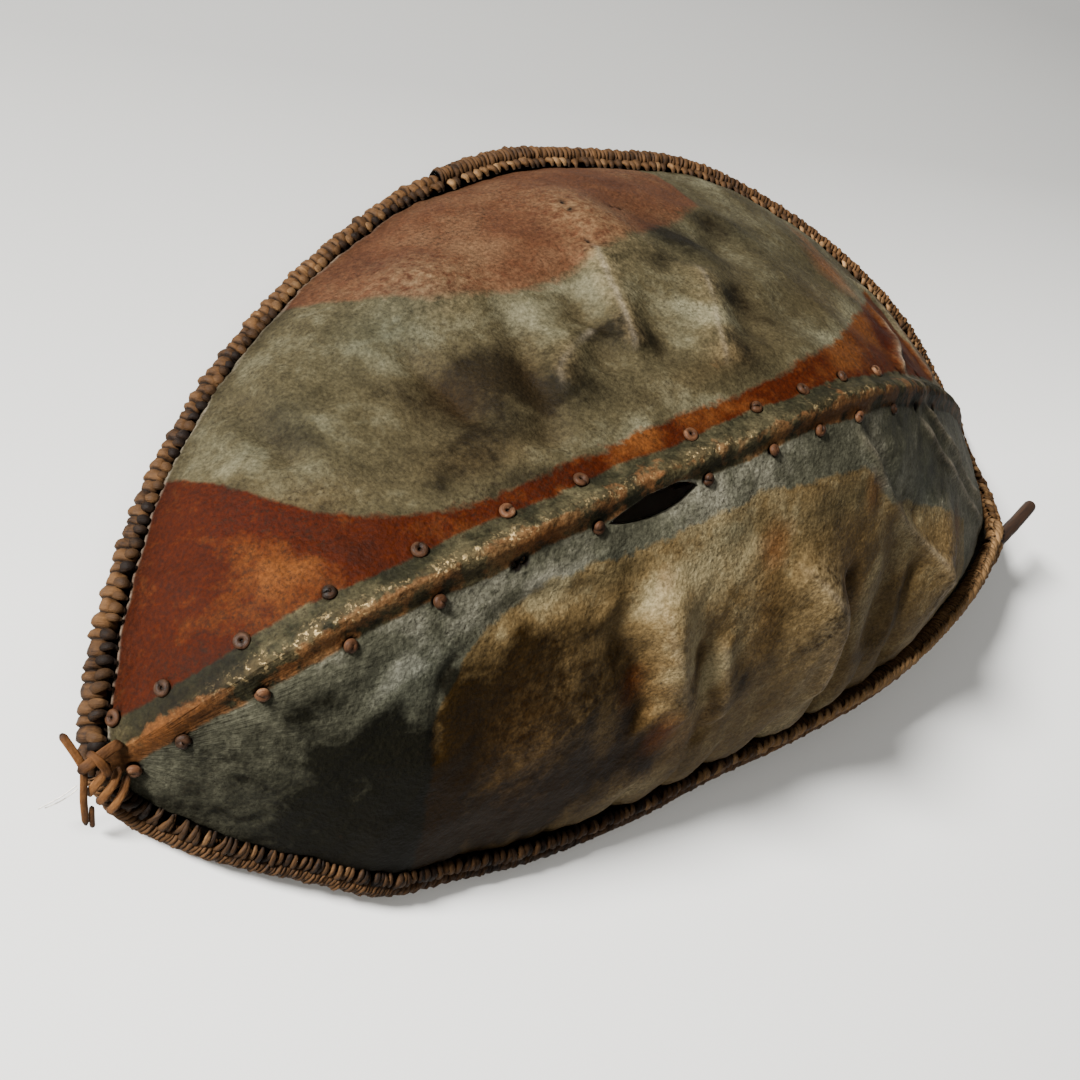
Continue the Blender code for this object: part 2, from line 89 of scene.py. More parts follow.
# broad dents (-) and swells (+): x, y, half length, half width, turn in degrees, height
DENTS = [(-0.252, 0.126, 0.070, 0.045, 30, -0.008), (-0.125, 0.140, 0.070, 0.040, 70, -0.004),
         (0.047, 0.205, 0.070, 0.035, -40, -0.009), (0.040, 0.118, 0.060, 0.030, 10, -0.006),
         (-0.040, 0.225, 0.060, 0.040, 60, 0.008), (-0.190, 0.200, 0.050, 0.040, 20, 0.008),
         (-0.142, -0.045, 0.045, 0.028, -35, 0.005), (0.000, -0.090, 0.040, 0.060, 20, 0.013),
         (0.190, -0.100, 0.045, 0.060, -15, 0.014), (0.100, -0.110, 0.028, 0.060, 0, -0.010),
         (-0.330, 0.135, 0.030, 0.022, 60, -0.003), (-0.235, 0.130, 0.035, 0.022, 80, -0.003),
         (-0.240, -0.070, 0.060, 0.055, 0, 0.004), (-0.150, -0.060, 0.050, 0.018, -75, 0.006)]
RELIEF_START = 0.020
RELIEF_FULL = 0.045

# folds dried into the hide: points on the plan, height, width, how far the crest is rubbed pale
FOLDS = [([(0.025, 0.027), (0.048, 0.006), (0.070, -0.021), (0.099, -0.047), (0.159, -0.083),
           (0.217, -0.124)], 0.0052, 0.0060, 0.5),
         ([(0.040, 0.030), (0.070, -0.002), (0.100, -0.030), (0.150, -0.060)],
          -0.0035, 0.0090, 0.0),
         ([(0.148, 0.022), (0.206, -0.018), (0.294, -0.061), (0.366, -0.101)],
          0.0040, 0.0052, 0.9),
         ([(0.253, 0.129), (0.215, 0.085), (0.163, 0.054), (0.186, 0.019), (0.249, -0.019),
           (0.371, -0.083)], 0.0048, 0.0052, 0.6),
         ([(0.260, 0.158), (0.298, 0.110), (0.276, 0.061), (0.246, 0.015)],
          0.0040, 0.0060, 0.35),
         ([(-0.122, -0.062), (-0.113, -0.082), (-0.104, -0.104), (-0.092, -0.140)],
          -0.0048, 0.0090, 0.0),
         ([(-0.104, -0.070), (-0.094, -0.095), (-0.080, -0.130)], 0.0040, 0.0090, 0.2),
         ([(-0.198, -0.022), (-0.188, -0.048), (-0.172, -0.075), (-0.158, -0.105)],
          -0.0050, 0.0110, 0.0),
         ([(-0.046, -0.042), (-0.020, -0.062), (0.015, -0.096), (0.030, -0.150)],
          0.0075, 0.0110, 0.3),
         ([(0.024, -0.060), (0.034, -0.090), (0.055, -0.130), (0.058, -0.170)],
          -0.0090, 0.0110, 0.0),
         ([(0.147, -0.080), (0.138, -0.107), (0.145, -0.160)], -0.0060, 0.0100, 0.0),
         ([(-0.171, -0.024), (-0.157, -0.057), (-0.138, -0.086), (-0.120, -0.115)],
          0.0060, 0.0120, 0.2),
         ([(-0.297, -0.014), (-0.276, -0.005), (-0.249, -0.006), (-0.217, -0.013),
           (-0.205, -0.030)], -0.0030, 0.0080, 0.0),
         ([(-0.296, -0.012), (-0.310, -0.018), (-0.320, -0.038), (-0.318, -0.070)],
          -0.0018, 0.0040, 0.0),
         ([(-0.152, 0.190), (-0.165, 0.162), (-0.182, 0.125), (-0.199, 0.091), (-0.212, 0.070)],
          -0.0060, 0.0120, 0.0),
         ([(-0.176, 0.104), (-0.168, 0.120), (-0.139, 0.136), (-0.114, 0.146)],
          0.0050, 0.0120, 0.2),
         ([(-0.098, 0.195), (-0.106, 0.176), (-0.117, 0.156), (-0.129, 0.129), (-0.136, 0.108)],
          -0.0038, 0.0120, 0.0),
         ([(-0.062, 0.206), (-0.073, 0.187), (-0.085, 0.165), (-0.097, 0.141), (-0.108, 0.118)],
          0.0060, 0.0110, 0.3),
         ([(0.002, 0.175), (-0.017, 0.145), (-0.044, 0.112), (-0.060, 0.088)],
          0.0048, 0.0140, 0.2),
         ([(-0.050, 0.170), (-0.075, 0.132), (-0.098, 0.100)], -0.0030, 0.0100, 0.0),
         ([(0.110, 0.225), (0.085, 0.205), (0.040, 0.162), (0.000, 0.120), (-0.015, 0.096)],
          -0.0045, 0.0150, 0.0),
         ([(-0.318, 0.175), (-0.326, 0.157), (-0.333, 0.133), (-0.335, 0.112)],
          -0.0040, 0.0090, 0.0),
         ([(-0.232, 0.175), (-0.236, 0.154), (-0.232, 0.135), (-0.236, 0.105)],
          -0.0040, 0.0090, 0.0)]

# the near edge is drawn in at these places and swells out over the stitches between them
PINCHES = [-0.315, -0.262, -0.205, -0.146, -0.100, -0.061, -0.004, 0.055, 0.100, 0.147, 0.200,
           0.260, 0.330, 0.400]
SWELLS = [0.0010, 0.0020, 0.0035, 0.0050, 0.0060, 0.0070, 0.0075, 0.0065, 0.0050, 0.0035,
          0.0020, 0.0010, 0.0000]

# how far the hide dips where it runs in under the stitches: x, depth
FAR_TUCK = [(-0.475, 0.001), (-0.400, 0.002), (-0.250, 0.004), (-0.070, 0.0075), (0.080, 0.0070),
            (0.200, 0.004), (0.350, 0.003), (0.500, 0.003)]
NEAR_TUCK = [(-0.475, 0.001), (-0.330, 0.002), (-0.260, 0.004), (-0.150, 0.006), (0.200, 0.008),
             (0.400, 0.009), (0.500, 0.004)]
# how far from the middle of the roll the hide's trimmed edge stands: x, distance
FAR_TRIM = [(-0.475, 0.0070), (-0.400, 0.0078), (-0.250, 0.0092), (-0.120, 0.0098),
            (-0.060, 0.0122), (0.150, 0.0120), (0.300, 0.0100), (0.420, 0.0130), (0.500, 0.0150)]
NEAR_TRIM = [(-0.475, 0.0115), (-0.430, 0.0130), (-0.330, 0.0128), (-0.200, 0.0122),
             (0.000, 0.0130), (0.100, 0.0170), (0.200, 0.0192), (0.400, 0.0210), (0.500, 0.0160)]
EDGE_DROP = 0.0050
ROLL_TOUCH = 0.007           # nearer the roll's middle than this the hide is held still

HIDE_THICKNESS = 0.004
LACE_OFFSET = 0.0145
LACE_STATIONS = [-0.458, -0.440, -0.408, -0.368, -0.317, -0.260, -0.208, -0.119, -0.060,
                 -0.013, 0.035, 0.094]
BROKEN_LACE = 5
EMPTY_HOLES = [0.150, 0.203]
DOUBLED_HOLE = -0.2655       # beside the broken lashing a second hole has torn through
HOLE_CUT = 0.9               # faces go whose middles lie within this share of a hole's radius
HOLE_SEARCH = 0.008          # and no farther from it than this through the hide
HOLE_LIP = (0.0006, 0.0056, 0.0014)        # how high it stands, its radius and its softness
HOLE_DIMPLE = 0.0010
KNOB_DIMPLE = 0.0016         # deeper where a knob is still drawn down into the hole
DIMPLE_RADIUS = 0.0042
# painted shade round each hole
HOLE_SHADE = (0.0052, 0.0016)              # the dark round each hole: radius, softness
SLIT_START = -0.199
SLIT_END = -0.128
SLIT_OFFSET = -0.0155
SLIT_WIDTH = 0.0165
SLIT_REACH = 0.007           # how far the hide is pushed aside and lifted on the slit's high side
SLIT_LIFT = 0.0050
SLIT_SINK = 0.0060           # and how far it sinks on the low side
SLIT_SINK_REACH = 0.013

STAVE_START = -0.452
STAVE_END = 0.462
# depths of the stave's section below the rib's line
STAVE_TOP = 0.0065
STAVE_SHOULDER = 0.0100
STAVE_HAUNCH = 0.0082
STAVE_BOTTOM = 0.0160
STAVE_CHAMFER = 0.0012
STAVE_END_SHARE = 0.55       # how much of its section is left at the ends
STAVE_TAPER = 0.08
STAVE_HALF_WIDTH = 0.009
GRIP_MIDDLE = -0.163
GRIP_HALF_LENGTH = 0.110
GRIP_DROP = 0.032

# painted areas: borders on the plan
RUST_BORDER = [(-0.390, 0.300), (-0.378, 0.140), (-0.368, 0.123), (-0.356, 0.097),
               (-0.339, 0.078), (-0.303, 0.064), (-0.269, 0.059), (-0.214, 0.062),
               (-0.149, 0.068), (-0.063, 0.070), (0.056, 0.085), (0.245, 0.124), (0.330, 0.150)]
# the red-brown band stops short of the right end, along a fold: y, x
END_BORDER = [(0.010, 0.250), (0.061, 0.276), (0.110, 0.290), (0.158, 0.262), (0.300, 0.240)]
TOP_BORDER = [(-0.300, 0.400), (-0.262, 0.236), (-0.246, 0.220), (-0.199, 0.190),
              (-0.127, 0.183), (-0.053, 0.197), (0.030, 0.216), (0.112, 0.236), (0.140, 0.300),
              (0.180, 0.400)]
SLATE_BORDER = [(-0.330, -0.060), (-0.300, -0.014), (-0.276, -0.004), (-0.238, 0.004),
                (-0.178, 0.001), (-0.075, 0.005), (0.040, -0.004), (0.075, -0.032),
                (0.108, -0.038), (0.200, -0.060), (0.285, -0.080), (0.292, -0.160),
                (0.480, -0.300)]
DARK_BORDER = [(-0.160, -0.312), (-0.112, -0.318), (-0.071, -0.323), (-0.040, -0.323),
               (-0.018, -0.314), (0.010, -0.298)]

# old cuts through the far patch: x, y, half length, half width, turn
NICKS = [(-0.044, 0.242, 0.0040, 0.0022, 60), (-0.048, 0.233, 0.0038, 0.0022, 20),
         (0.000, 0.2392, 0.0040, 0.0013, -12), (0.008, 0.2375, 0.0040, 0.0013, -12),
         (-0.064, 0.206, 0.0013, 0.0040, 10)]
NICK_DEPTH = 0.0012

# paler (+) and darker (-) clouds in the paint, some of them painted shade and light of the dents:
# x, y, half length, half width, turn, strength
CLOUDS_AND_PAINTED_SHADING = [
    # far field, left half
    (-0.210, 0.132, 0.050, 0.027, -10, -1.5), (-0.165, 0.112, 0.034, 0.022, -10, -0.8),
    (-0.228, 0.100, 0.036, 0.022, 0, -0.8), (-0.268, 0.078, 0.034, 0.014, 5, -0.9),
    (-0.215, 0.085, 0.030, 0.012, 0, -0.4), (-0.352, 0.088, 0.034, 0.014, -25, -0.8),
    (-0.322, 0.078, 0.018, 0.012, 0, 0.2), (-0.325, 0.140, 0.018, 0.036, 25, -0.8),
    (-0.358, 0.128, 0.016, 0.016, 0, 0.6), (-0.312, 0.135, 0.010, 0.024, 25, 0.7),
    (-0.280, 0.140, 0.020, 0.016, 0, 0.4), (-0.255, 0.166, 0.014, 0.026, 30, 0.3),
    (-0.205, 0.188, 0.030, 0.014, 0, -0.4), (-0.262, 0.195, 0.010, 0.014, 0, -0.6),
    (-0.300, 0.180, 0.034, 0.018, 40, -0.2), (-0.240, 0.205, 0.030, 0.012, 20, -0.3),
    (-0.330, 0.122, 0.020, 0.014, 0, -0.4), (-0.242, 0.122, 0.018, 0.014, 0, -0.5),
    # far field, right half
    (-0.150, 0.168, 0.022, 0.026, 60, 1.1), (-0.105, 0.175, 0.016, 0.030, 55, 1.0),
    (-0.075, 0.190, 0.016, 0.014, 60, 0.2), (-0.108, 0.130, 0.034, 0.014, -10, -1.3),
    (-0.066, 0.117, 0.016, 0.014, 0, 0.3), (-0.130, 0.092, 0.024, 0.010, 0, -0.3),
    (-0.165, 0.105, 0.024, 0.016, 0, -0.2), (-0.040, 0.128, 0.014, 0.032, 45, 1.2),
    (-0.029, 0.103, 0.018, 0.014, 20, -0.7), (0.005, 0.138, 0.014, 0.030, 45, -1.0),
    (-0.028, 0.180, 0.014, 0.024, 45, -0.7), (0.022, 0.200, 0.036, 0.030, -25, -1.4),
    (0.085, 0.215, 0.026, 0.016, -25, -0.8), (0.140, 0.180, 0.040, 0.022, -20, 0.4),
    (0.175, 0.262, 0.030, 0.014, -20, 0.6), (0.110, 0.125, 0.045, 0.020, -10, 0.1),
    # red-brown band
    (-0.372, 0.056, 0.013, 0.022, 30, 0.5), (-0.347, 0.058, 0.009, 0.030, 25, -1.0),
    (-0.428, 0.022, 0.040, 0.026, 40, -0.8), (-0.400, 0.070, 0.024, 0.020, 50, -0.2),
    (-0.230, 0.056, 0.045, 0.010, 0, -1.2), (-0.160, 0.058, 0.030, 0.012, 5, 1.3),
    (-0.128, 0.060, 0.010, 0.014, 0, -0.6), (-0.085, 0.064, 0.026, 0.012, 0, 0.7),
    (-0.020, 0.070, 0.040, 0.012, 5, 0.2), (0.060, 0.078, 0.040, 0.014, 8, 0.9),
    (0.150, 0.100, 0.050, 0.020, 15, 1.2), (0.220, 0.130, 0.034, 0.030, 20, 0.9),
    # far patch
    (-0.262, 0.225, 0.030, 0.016, 30, -0.8), (-0.190, 0.240, 0.030, 0.020, 30, -0.5),
    (0.030, 0.270, 0.040, 0.020, 0, -0.5), (-0.130, 0.225, 0.030, 0.016, 10, 0.6),
    # blue-grey side
    (-0.140, -0.010, 0.040, 0.010, 5, -0.2), (-0.263, -0.010, 0.024, 0.010, 0, 0.6),
    (-0.375, -0.060, 0.040, 0.030, 50, -0.3), (-0.345, -0.100, 0.050, 0.028, -15, -1.3),
    (-0.345, -0.060, 0.016, 0.026, 0, -0.9), (-0.347, -0.022, 0.030, 0.014, 20, 1.1),
    (-0.312, -0.052, 0.010, 0.034, 0, -0.9), (-0.434, -0.031, 0.022, 0.020, 0, -0.5),
    (-0.395, -0.012, 0.026, 0.010, 0, -0.3), (0.104, -0.017, 0.030, 0.014, 0, 0.4),
    (0.200, -0.030, 0.030, 0.030, 0, -0.6),
    # brown side
    (-0.240, 0.000, 0.024, 0.010, 15, 1.2), (-0.228, -0.035, 0.034, 0.014, 15, -0.8),
    (-0.275, -0.060, 0.040, 0.034, 0, -1.7), (-0.215, -0.080, 0.040, 0.036, 0, -1.9),
    (-0.296, -0.070, 0.022, 0.055, 0, -1.7), (-0.262, -0.030, 0.024, 0.024, 0, -1.2),
    (-0.285, -0.115, 0.044, 0.028, 0, -1.3), (-0.225, -0.125, 0.055, 0.026, 0, -1.6),
    (-0.150, -0.030, 0.044, 0.026, 15, 0.8), (-0.138, -0.070, 0.020, 0.034, -30, 0.8),
    (-0.175, -0.090, 0.016, 0.026, 0, -1.1), (-0.160, -0.125, 0.040, 0.020, 0, -1.4),
    (-0.122, -0.088, 0.008, 0.022, -25, -0.6), (-0.106, -0.104, 0.014, 0.024, -25, 1.0),
    (-0.090, -0.030, 0.024, 0.016, 0, 0.5), (-0.070, -0.044, 0.014, 0.018, 0, 0.1),
    (-0.080, -0.120, 0.022, 0.020, 0, -0.8), (-0.018, -0.038, 0.018, 0.014, 0, -0.5),
    (-0.050, -0.080, 0.018, 0.026, 0, -0.5), (-0.004, -0.074, 0.016, 0.028, 0, -1.0),
    (0.035, -0.080, 0.022, 0.036, 0, -0.7), (0.068, -0.066, 0.018, 0.022, 0, 0.6),
    (0.130, -0.110, 0.020, 0.030, 0, -0.6), (0.195, -0.095, 0.030, 0.026, -20, -0.5)]
# how thickly the crest of the rib is flecked with bare pale hide and painted glints: x, share
CREST_FLECKS_AND_GLINTS = [(-0.470, 0.0), (-0.430, 0.1), (-0.405, 0.9), (-0.370, 1.0), (-0.340, 0.4),
          (-0.300, 1.0), (-0.265, 0.7), (-0.240, 0.1), (-0.200, 0.35), (-0.170, 0.35),
          (-0.150, 0.1), (-0.125, 0.8), (-0.090, 0.8), (-0.070, 0.1), (-0.020, 0.25),
          (0.050, 0.30), (0.100, 0.2), (0.140, 0.1), (0.500, 0.05)]
# where the strip on the rib is worn to the hide: x, offset from the rib, half length, half
# width, turn, strength
WORN_PLACES = [(-0.443, -0.004, 0.022, 0.014, 0, 2.6), (-0.405, 0.000, 0.016, 0.007, 0, -1.6),
               (-0.378, -0.005, 0.020, 0.008, 0, 1.0), (-0.405, 0.010, 0.040, 0.005, 0, -2.2),
               (-0.330, 0.010, 0.060, 0.005, 0, -1.4), (-0.345, 0.000, 0.030, 0.006, 0, 0.8),
               (-0.300, -0.004, 0.018, 0.007, 0, -0.8), (-0.255, -0.004, 0.045, 0.009, 0, 2.0),
               (-0.215, 0.008, 0.020, 0.006, 0, -1.2), (-0.145, 0.004, 0.030, 0.008, 0, 0.9),
               (-0.095, 0.006, 0.030, 0.009, 0, 1.0), (-0.120, -0.008, 0.020, 0.005, 0, -1.0),
               (0.000, -0.006, 0.030, 0.010, 0, 1.6), (0.035, -0.009, 0.018, 0.006, 0, 1.8),
               (0.070, -0.002, 0.030, 0.012, 0, 0.6), (0.140, 0.004, 0.050, 0.010, 0, 0.9),
               (-0.180, 0.006, 0.050, 0.008, 0, 0.9), (0.010, 0.006, 0.040, 0.008, 0, 0.7),
               (-0.055, -0.009, 0.012, 0.006, 0, 1.6)]
# where the bare hide of the strip is fat-stained orange: as above
ORANGE_PLACES = [(-0.445, -0.004, 0.026, 0.016, 0, 1.2), (-0.390, -0.008, 0.030, 0.007, 0, 0.8),
                 (-0.330, -0.009, 0.040, 0.006, 0, 0.7), (-0.255, -0.008, 0.040, 0.008, 0, 0.8),
                 (-0.060, -0.009, 0.014, 0.008, 0, 0.8), (-0.013, -0.012, 0.014, 0.006, 0, 0.9),
                 (0.035, -0.012, 0.014, 0.006, 0, 0.9), (-0.150, 0.000, 0.025, 0.008, 0, 0.4)]
# where the colour is cooler (+) or warmer (-): x, y, half length, half width, turn, strength
TINTS = [(-0.225, 0.188, 0.060, 0.026, 20, 0.9), (-0.325, 0.140, 0.030, 0.030, 0, 0.6),
         (0.030, 0.200, 0.050, 0.034, -20, 0.9), (0.090, 0.200, 0.050, 0.026, -10, 0.5),
         (-0.205, 0.130, 0.050, 0.026, 0, -0.9), (-0.250, 0.085, 0.050, 0.020, 0, -0.9),
         (-0.060, 0.092, 0.080, 0.016, 5, -0.7), (0.120, 0.125, 0.050, 0.030, 0, -0.7),
         (-0.350, 0.090, 0.040, 0.016, 0, -0.8), (-0.100, 0.130, 0.030, 0.020, 0, -0.2),
         (-0.370, 0.100, 0.030, 0.020, 60, -0.5), (-0.330, -0.020, 0.050, 0.030, 0, 0.4),
         (-0.200, -0.006, 0.050, 0.012, 0, 0.8), (0.020, -0.020, 0.100, 0.018, 0, 1.0),
         (-0.090, -0.010, 0.050, 0.012, 0, 0.8), (0.160, -0.040, 0.050, 0.030, 0, 0.6),
         (-0.165, -0.090, 0.024, 0.040, 20, -0.9), (-0.120, -0.125, 0.040, 0.020, 0, -1.0),
         (-0.065, -0.060, 0.020, 0.050, 10, -0.8), (0.030, -0.090, 0.026, 0.060, 10, -0.8),
         (0.200, -0.090, 0.050, 0.030, -20, -0.5), (-0.260, -0.080, 0.050, 0.060, 0, -1.1),
         (-0.225, -0.120, 0.060, 0.030, 0, -0.9), (0.400, 0.060, 0.070, 0.050, -50, -0.6),
         (0.330, 0.150, 0.050, 0.040, -40, -0.6), (-0.345, -0.110, 0.050, 0.040, 0, -0.8)]
# orange-brown stains where fat has soaked in: x, y, radius, strength
STAINS = [(-0.176, -0.078, 0.012, 0.6), (-0.140, -0.114, 0.014, 0.7), (-0.062, -0.030, 0.016, 0.7),
          (0.012, -0.075, 0.012, 0.5), (0.052, -0.022, 0.014, 0.7), (-0.080, 0.094, 0.020, 0.2),
          (0.350, 0.085, 0.055, 0.8), (0.255, -0.082, 0.018, 0.7),
          (0.210, 0.150, 0.030, 0.8), (0.250, 0.190, 0.025, 0.6), (-0.160, -0.020, 0.010, 0.4)]


def smooth_line(stations, step):
    """A centripetal Catmull-Rom line through the stations, a point about every step."""
    pts = np.array(stations, float)
    pts = np.vstack([2 * pts[0] - pts[1], pts, 2 * pts[-1] - pts[-2]])
    line = []
    for p0, p1, p2, p3 in zip(pts, pts[1:], pts[2:], pts[3:]):
        a, b, c = (math.sqrt(np.linalg.norm(v)) for v in (p1 - p0, p2 - p1, p3 - p2))
        m1 = ((p1 - p0) / a - (p2 - p0) / (a + b) + (p2 - p1) / b) * b
        m2 = ((p2 - p1) / b - (p3 - p1) / (b + c) + (p3 - p2) / c) * b
        count = max(1, round(np.linalg.norm(p2 - p1) / step))
        for t in np.arange(count) / count:
            line.append((2 * t**3 - 3 * t**2 + 1) * p1 + (t**3 - 2 * t**2 + t) * m1
                        + (3 * t**2 - 2 * t**3) * p2 + (t**3 - t**2) * m2)
    line.append(pts[-2])
    return np.array(line)


def rim_line(step):
    """The middle of the rim's roll as one loop, anticlockwise from the left tip."""
    loop = [LEFT_TIP, *NEAR_LEFT_STATIONS, NEAR_CORNER, *NEAR_STATIONS, SHOULDER,
            *NEAR_RIGHT_STATIONS, RIGHT_TIP, *reversed(FAR_RIGHT_STATIONS), FAR_JOINT,
            *reversed(FAR_LEFT_STATIONS), LEFT_TIP]
    line = smooth_line(loop, step)
    ring = line[:-1]
    ahead = (np.roll(ring, -1, axis=0) - np.roll(ring, 1, axis=0))[:, :2]
    ahead = np.vstack([ahead, ahead[:1]])
    ahead /= np.linalg.norm(ahead, axis=1)[:, None]
    line[:, :2] += RIM_INSET * np.stack([-ahead[:, 1], ahead[:, 0]], axis=1)
    return line


RIB_LINE = smooth_line(RIB_STATIONS, 0.004)
RIM_FINE = rim_line(0.004)
RIGHT_TIP_INDEX = int(np.argmax(RIM_FINE[:, 0]))
NEAR_EDGE = RIM_FINE[:RIGHT_TIP_INDEX + 1]
FAR_EDGE = RIM_FINE[RIGHT_TIP_INDEX:][::-1]


def on_line(line, x):
    return np.interp(x, line[:, 0], line[:, 1]), np.interp(x, line[:, 0], line[:, 2])


def table(rows, x):
    xs, values = np.array(rows).T
    return np.interp(x, xs, values)


def smooth(value):
    value = np.clip(value, 0.0, 1.0)
    return value * value * (3 - 2 * value)


def base_surface(x, t, side):
    """Mid-surface without relief: t is 0 on the rib and 1 on the rim; side +1 far, -1 near."""
    rib_y, rib_z = on_line(RIB_LINE, x)
    far_y, far_z = on_line(FAR_EDGE, x)
    near_y, near_z = on_line(NEAR_EDGE, x)
    rim_y, rim_z = np.where(side > 0, far_y, near_y), np.where(side > 0, far_z, near_z)
    full = np.where(side > 0, table(FAR_FULLNESS, x), table(NEAR_FULLNESS, x))
    turn = t * math.pi / 2
    y = rib_y + (rim_y - rib_y) * (full * np.sin(turn) + (1 - full) * t)
    z = rim_z + (rib_z - rim_z) * (full * np.cos(turn) + (1 - full) * (1 - t))
    off_rib = np.abs(y - rib_y)
    width = np.abs(rim_y - rib_y)
    ridge = RIDGE_HEIGHT * np.clip(width / NARROW_SLOPE, 0, 1)
    z = z + ridge * np.exp(-(off_rib / RIDGE_HALF_WIDTH)**4)
    return np.stack([x, y, z], axis=-1), off_rib, width - off_rib


def surface_normal(x, t, side):
    eps = 0.002
    along = base_surface(x + eps, t, side)[0] - base_surface(x - eps, t, side)[0]
    out = base_surface(x, t + eps, side)[0] - base_surface(x, t - eps, side)[0]
    normal = np.cross(along, out) * np.asarray(side)[..., None]
    return normal / np.linalg.norm(normal, axis=-1, keepdims=True)


def t_at_offset(x, offset):
    """Where sections are this far, in plan and signed, from the rib's middle."""
    side = np.where(offset >= 0, 1, -1)
    rib_y = on_line(RIB_LINE, x)[0]
    rim_y = np.where(side > 0, on_line(FAR_EDGE, x)[0], on_line(NEAR_EDGE, x)[0])
    full = np.where(side > 0, table(FAR_FULLNESS, x), table(NEAR_FULLNESS, x))
    share = np.clip(np.abs(offset) / np.abs(rim_y - rib_y), 0, 1)
    t = share.copy()
    for _ in range(12):
        value = full * np.sin(t * math.pi / 2) + (1 - full) * t
        slope = full * math.pi / 2 * np.cos(t * math.pi / 2) + 1 - full
        t = np.clip(t - (value - share) / slope, 0, 1)
    return t, side


def hide_frame(x, offset):
    """A place on the plain hide and its normal, from one x and one signed offset."""
    xs = np.array([x], float)
    t, side = t_at_offset(xs, np.array([offset], float))
    return base_surface(xs, t, side)[0][0], surface_normal(xs, t, side)[0]


def clouded(rows, x, y):
    """The sum of soft turned ellipses, each with its own strength."""
    total = np.zeros_like(x)
    for cx, cy, length, width, turn, strength in rows:
        c, s = math.cos(math.radians(turn)), math.sin(math.radians(turn))
        u = ((x - cx) * c + (y - cy) * s) / length
        v = ((y - cy) * c - (x - cx) * s) / width
        total += strength * np.exp(-2.0 * (u * u + v * v))
    return total


def from_polyline(points, x, y):
    """Distance from a line on the plan, and how far along it the nearest place is, 0 to 1."""
    line = smooth_line([(px, py, 0) for px, py in points], 0.012)[:, :2]
    best = np.full(x.shape, 1e9)
    along = np.zeros(x.shape)
    for i, (a, b) in enumerate(zip(line, line[1:])):
        d = b - a
        s = np.clip(((x - a[0]) * d[0] + (y - a[1]) * d[1]) / (d @ d), 0, 1)
        gap = np.hypot(x - a[0] - s * d[0], y - a[1] - s * d[1])
        nearer = gap < best
        best = np.where(nearer, gap, best)
        along = np.where(nearer, (i + s) / (len(line) - 1), along)
    return best, along


def folds_at(x, y):
    """Each fold's height, width and rubbing, how far every place is from it, and its faded ends."""
    for points, tall, wide, rubbed in FOLDS:
        gap, along = from_polyline(points, x, y)
        yield tall, wide, rubbed, gap, smooth(along / 0.18) * smooth((1 - along) / 0.10)


def lumps(points, size, shift):
    """Soft seeded lumps of about this size, from -1 to 1, one for each point."""
    flat = points.reshape(-1, 3) / size + shift
    return np.array([noise.noise(p) for p in flat.tolist()]).reshape(points.shape[:-1]) * 1.6


def slit_opening(x):
    """Half the slit's gap at each x, nothing beyond its ends."""
    u = (x - (SLIT_START + SLIT_END) / 2) / ((SLIT_END - SLIT_START) / 2)
    lean = 1 + 0.25 * u
    return SLIT_WIDTH / 2 * np.clip(1 - u * u, 0, 1)**0.8 * lean


def rim_gap(here, side):
    """How far each place is from the middle of the roll, across the shield."""
    x, y, z = here[..., 0], here[..., 1], here[..., 2]
    far_y, far_z = on_line(FAR_EDGE, x)
    near_y, near_z = on_line(NEAR_EDGE, x)
    return np.where(side > 0, np.hypot(y - far_y, z - far_z), np.hypot(y - near_y, z - near_z))


def trim_line(here, side):
    """How far from the middle of the roll the hide is cut off, a little unevenly."""
    edge = np.where(side > 0, table(FAR_TRIM, here[..., 0]), table(NEAR_TRIM, here[..., 0]))
    return edge + 0.0021 * lumps(here * (1.0, 0.3, 0.3), 0.012, 17.1)


def trimmed(here, gap, side):
    """1 beyond the hide's trimmed edge, where only the stitched margin runs on under the roll."""
    return 1 - smooth((gap - trim_line(here, side) + 0.0012) / 0.0028)


def rim_tuck(x, gap, side):
    """The hide dips as it runs in under the stitches."""
    depth = np.where(side > 0, table(FAR_TUCK, x), table(NEAR_TUCK, x))
    return depth * np.exp(-(gap / 0.034)**2) * smooth(gap / ROLL_TOUCH)


def near_swell(x, gap, side):
    """The hide's near edge bellies out between the places where the stitches draw it in."""
    total = np.zeros_like(x)
    for left, right, height in zip(PINCHES, PINCHES[1:], SWELLS):
        u = np.clip((x - left) / (right - left), 0, 1)
        total += height * np.sin(u * math.pi)**0.6 * (u > 0) * (u < 1)
    reach = smooth((gap - 0.010) / 0.007) * np.exp(-(np.clip(gap - 0.018, 0, 1) / 0.030)**2)
    return total * reach * (side < 0)


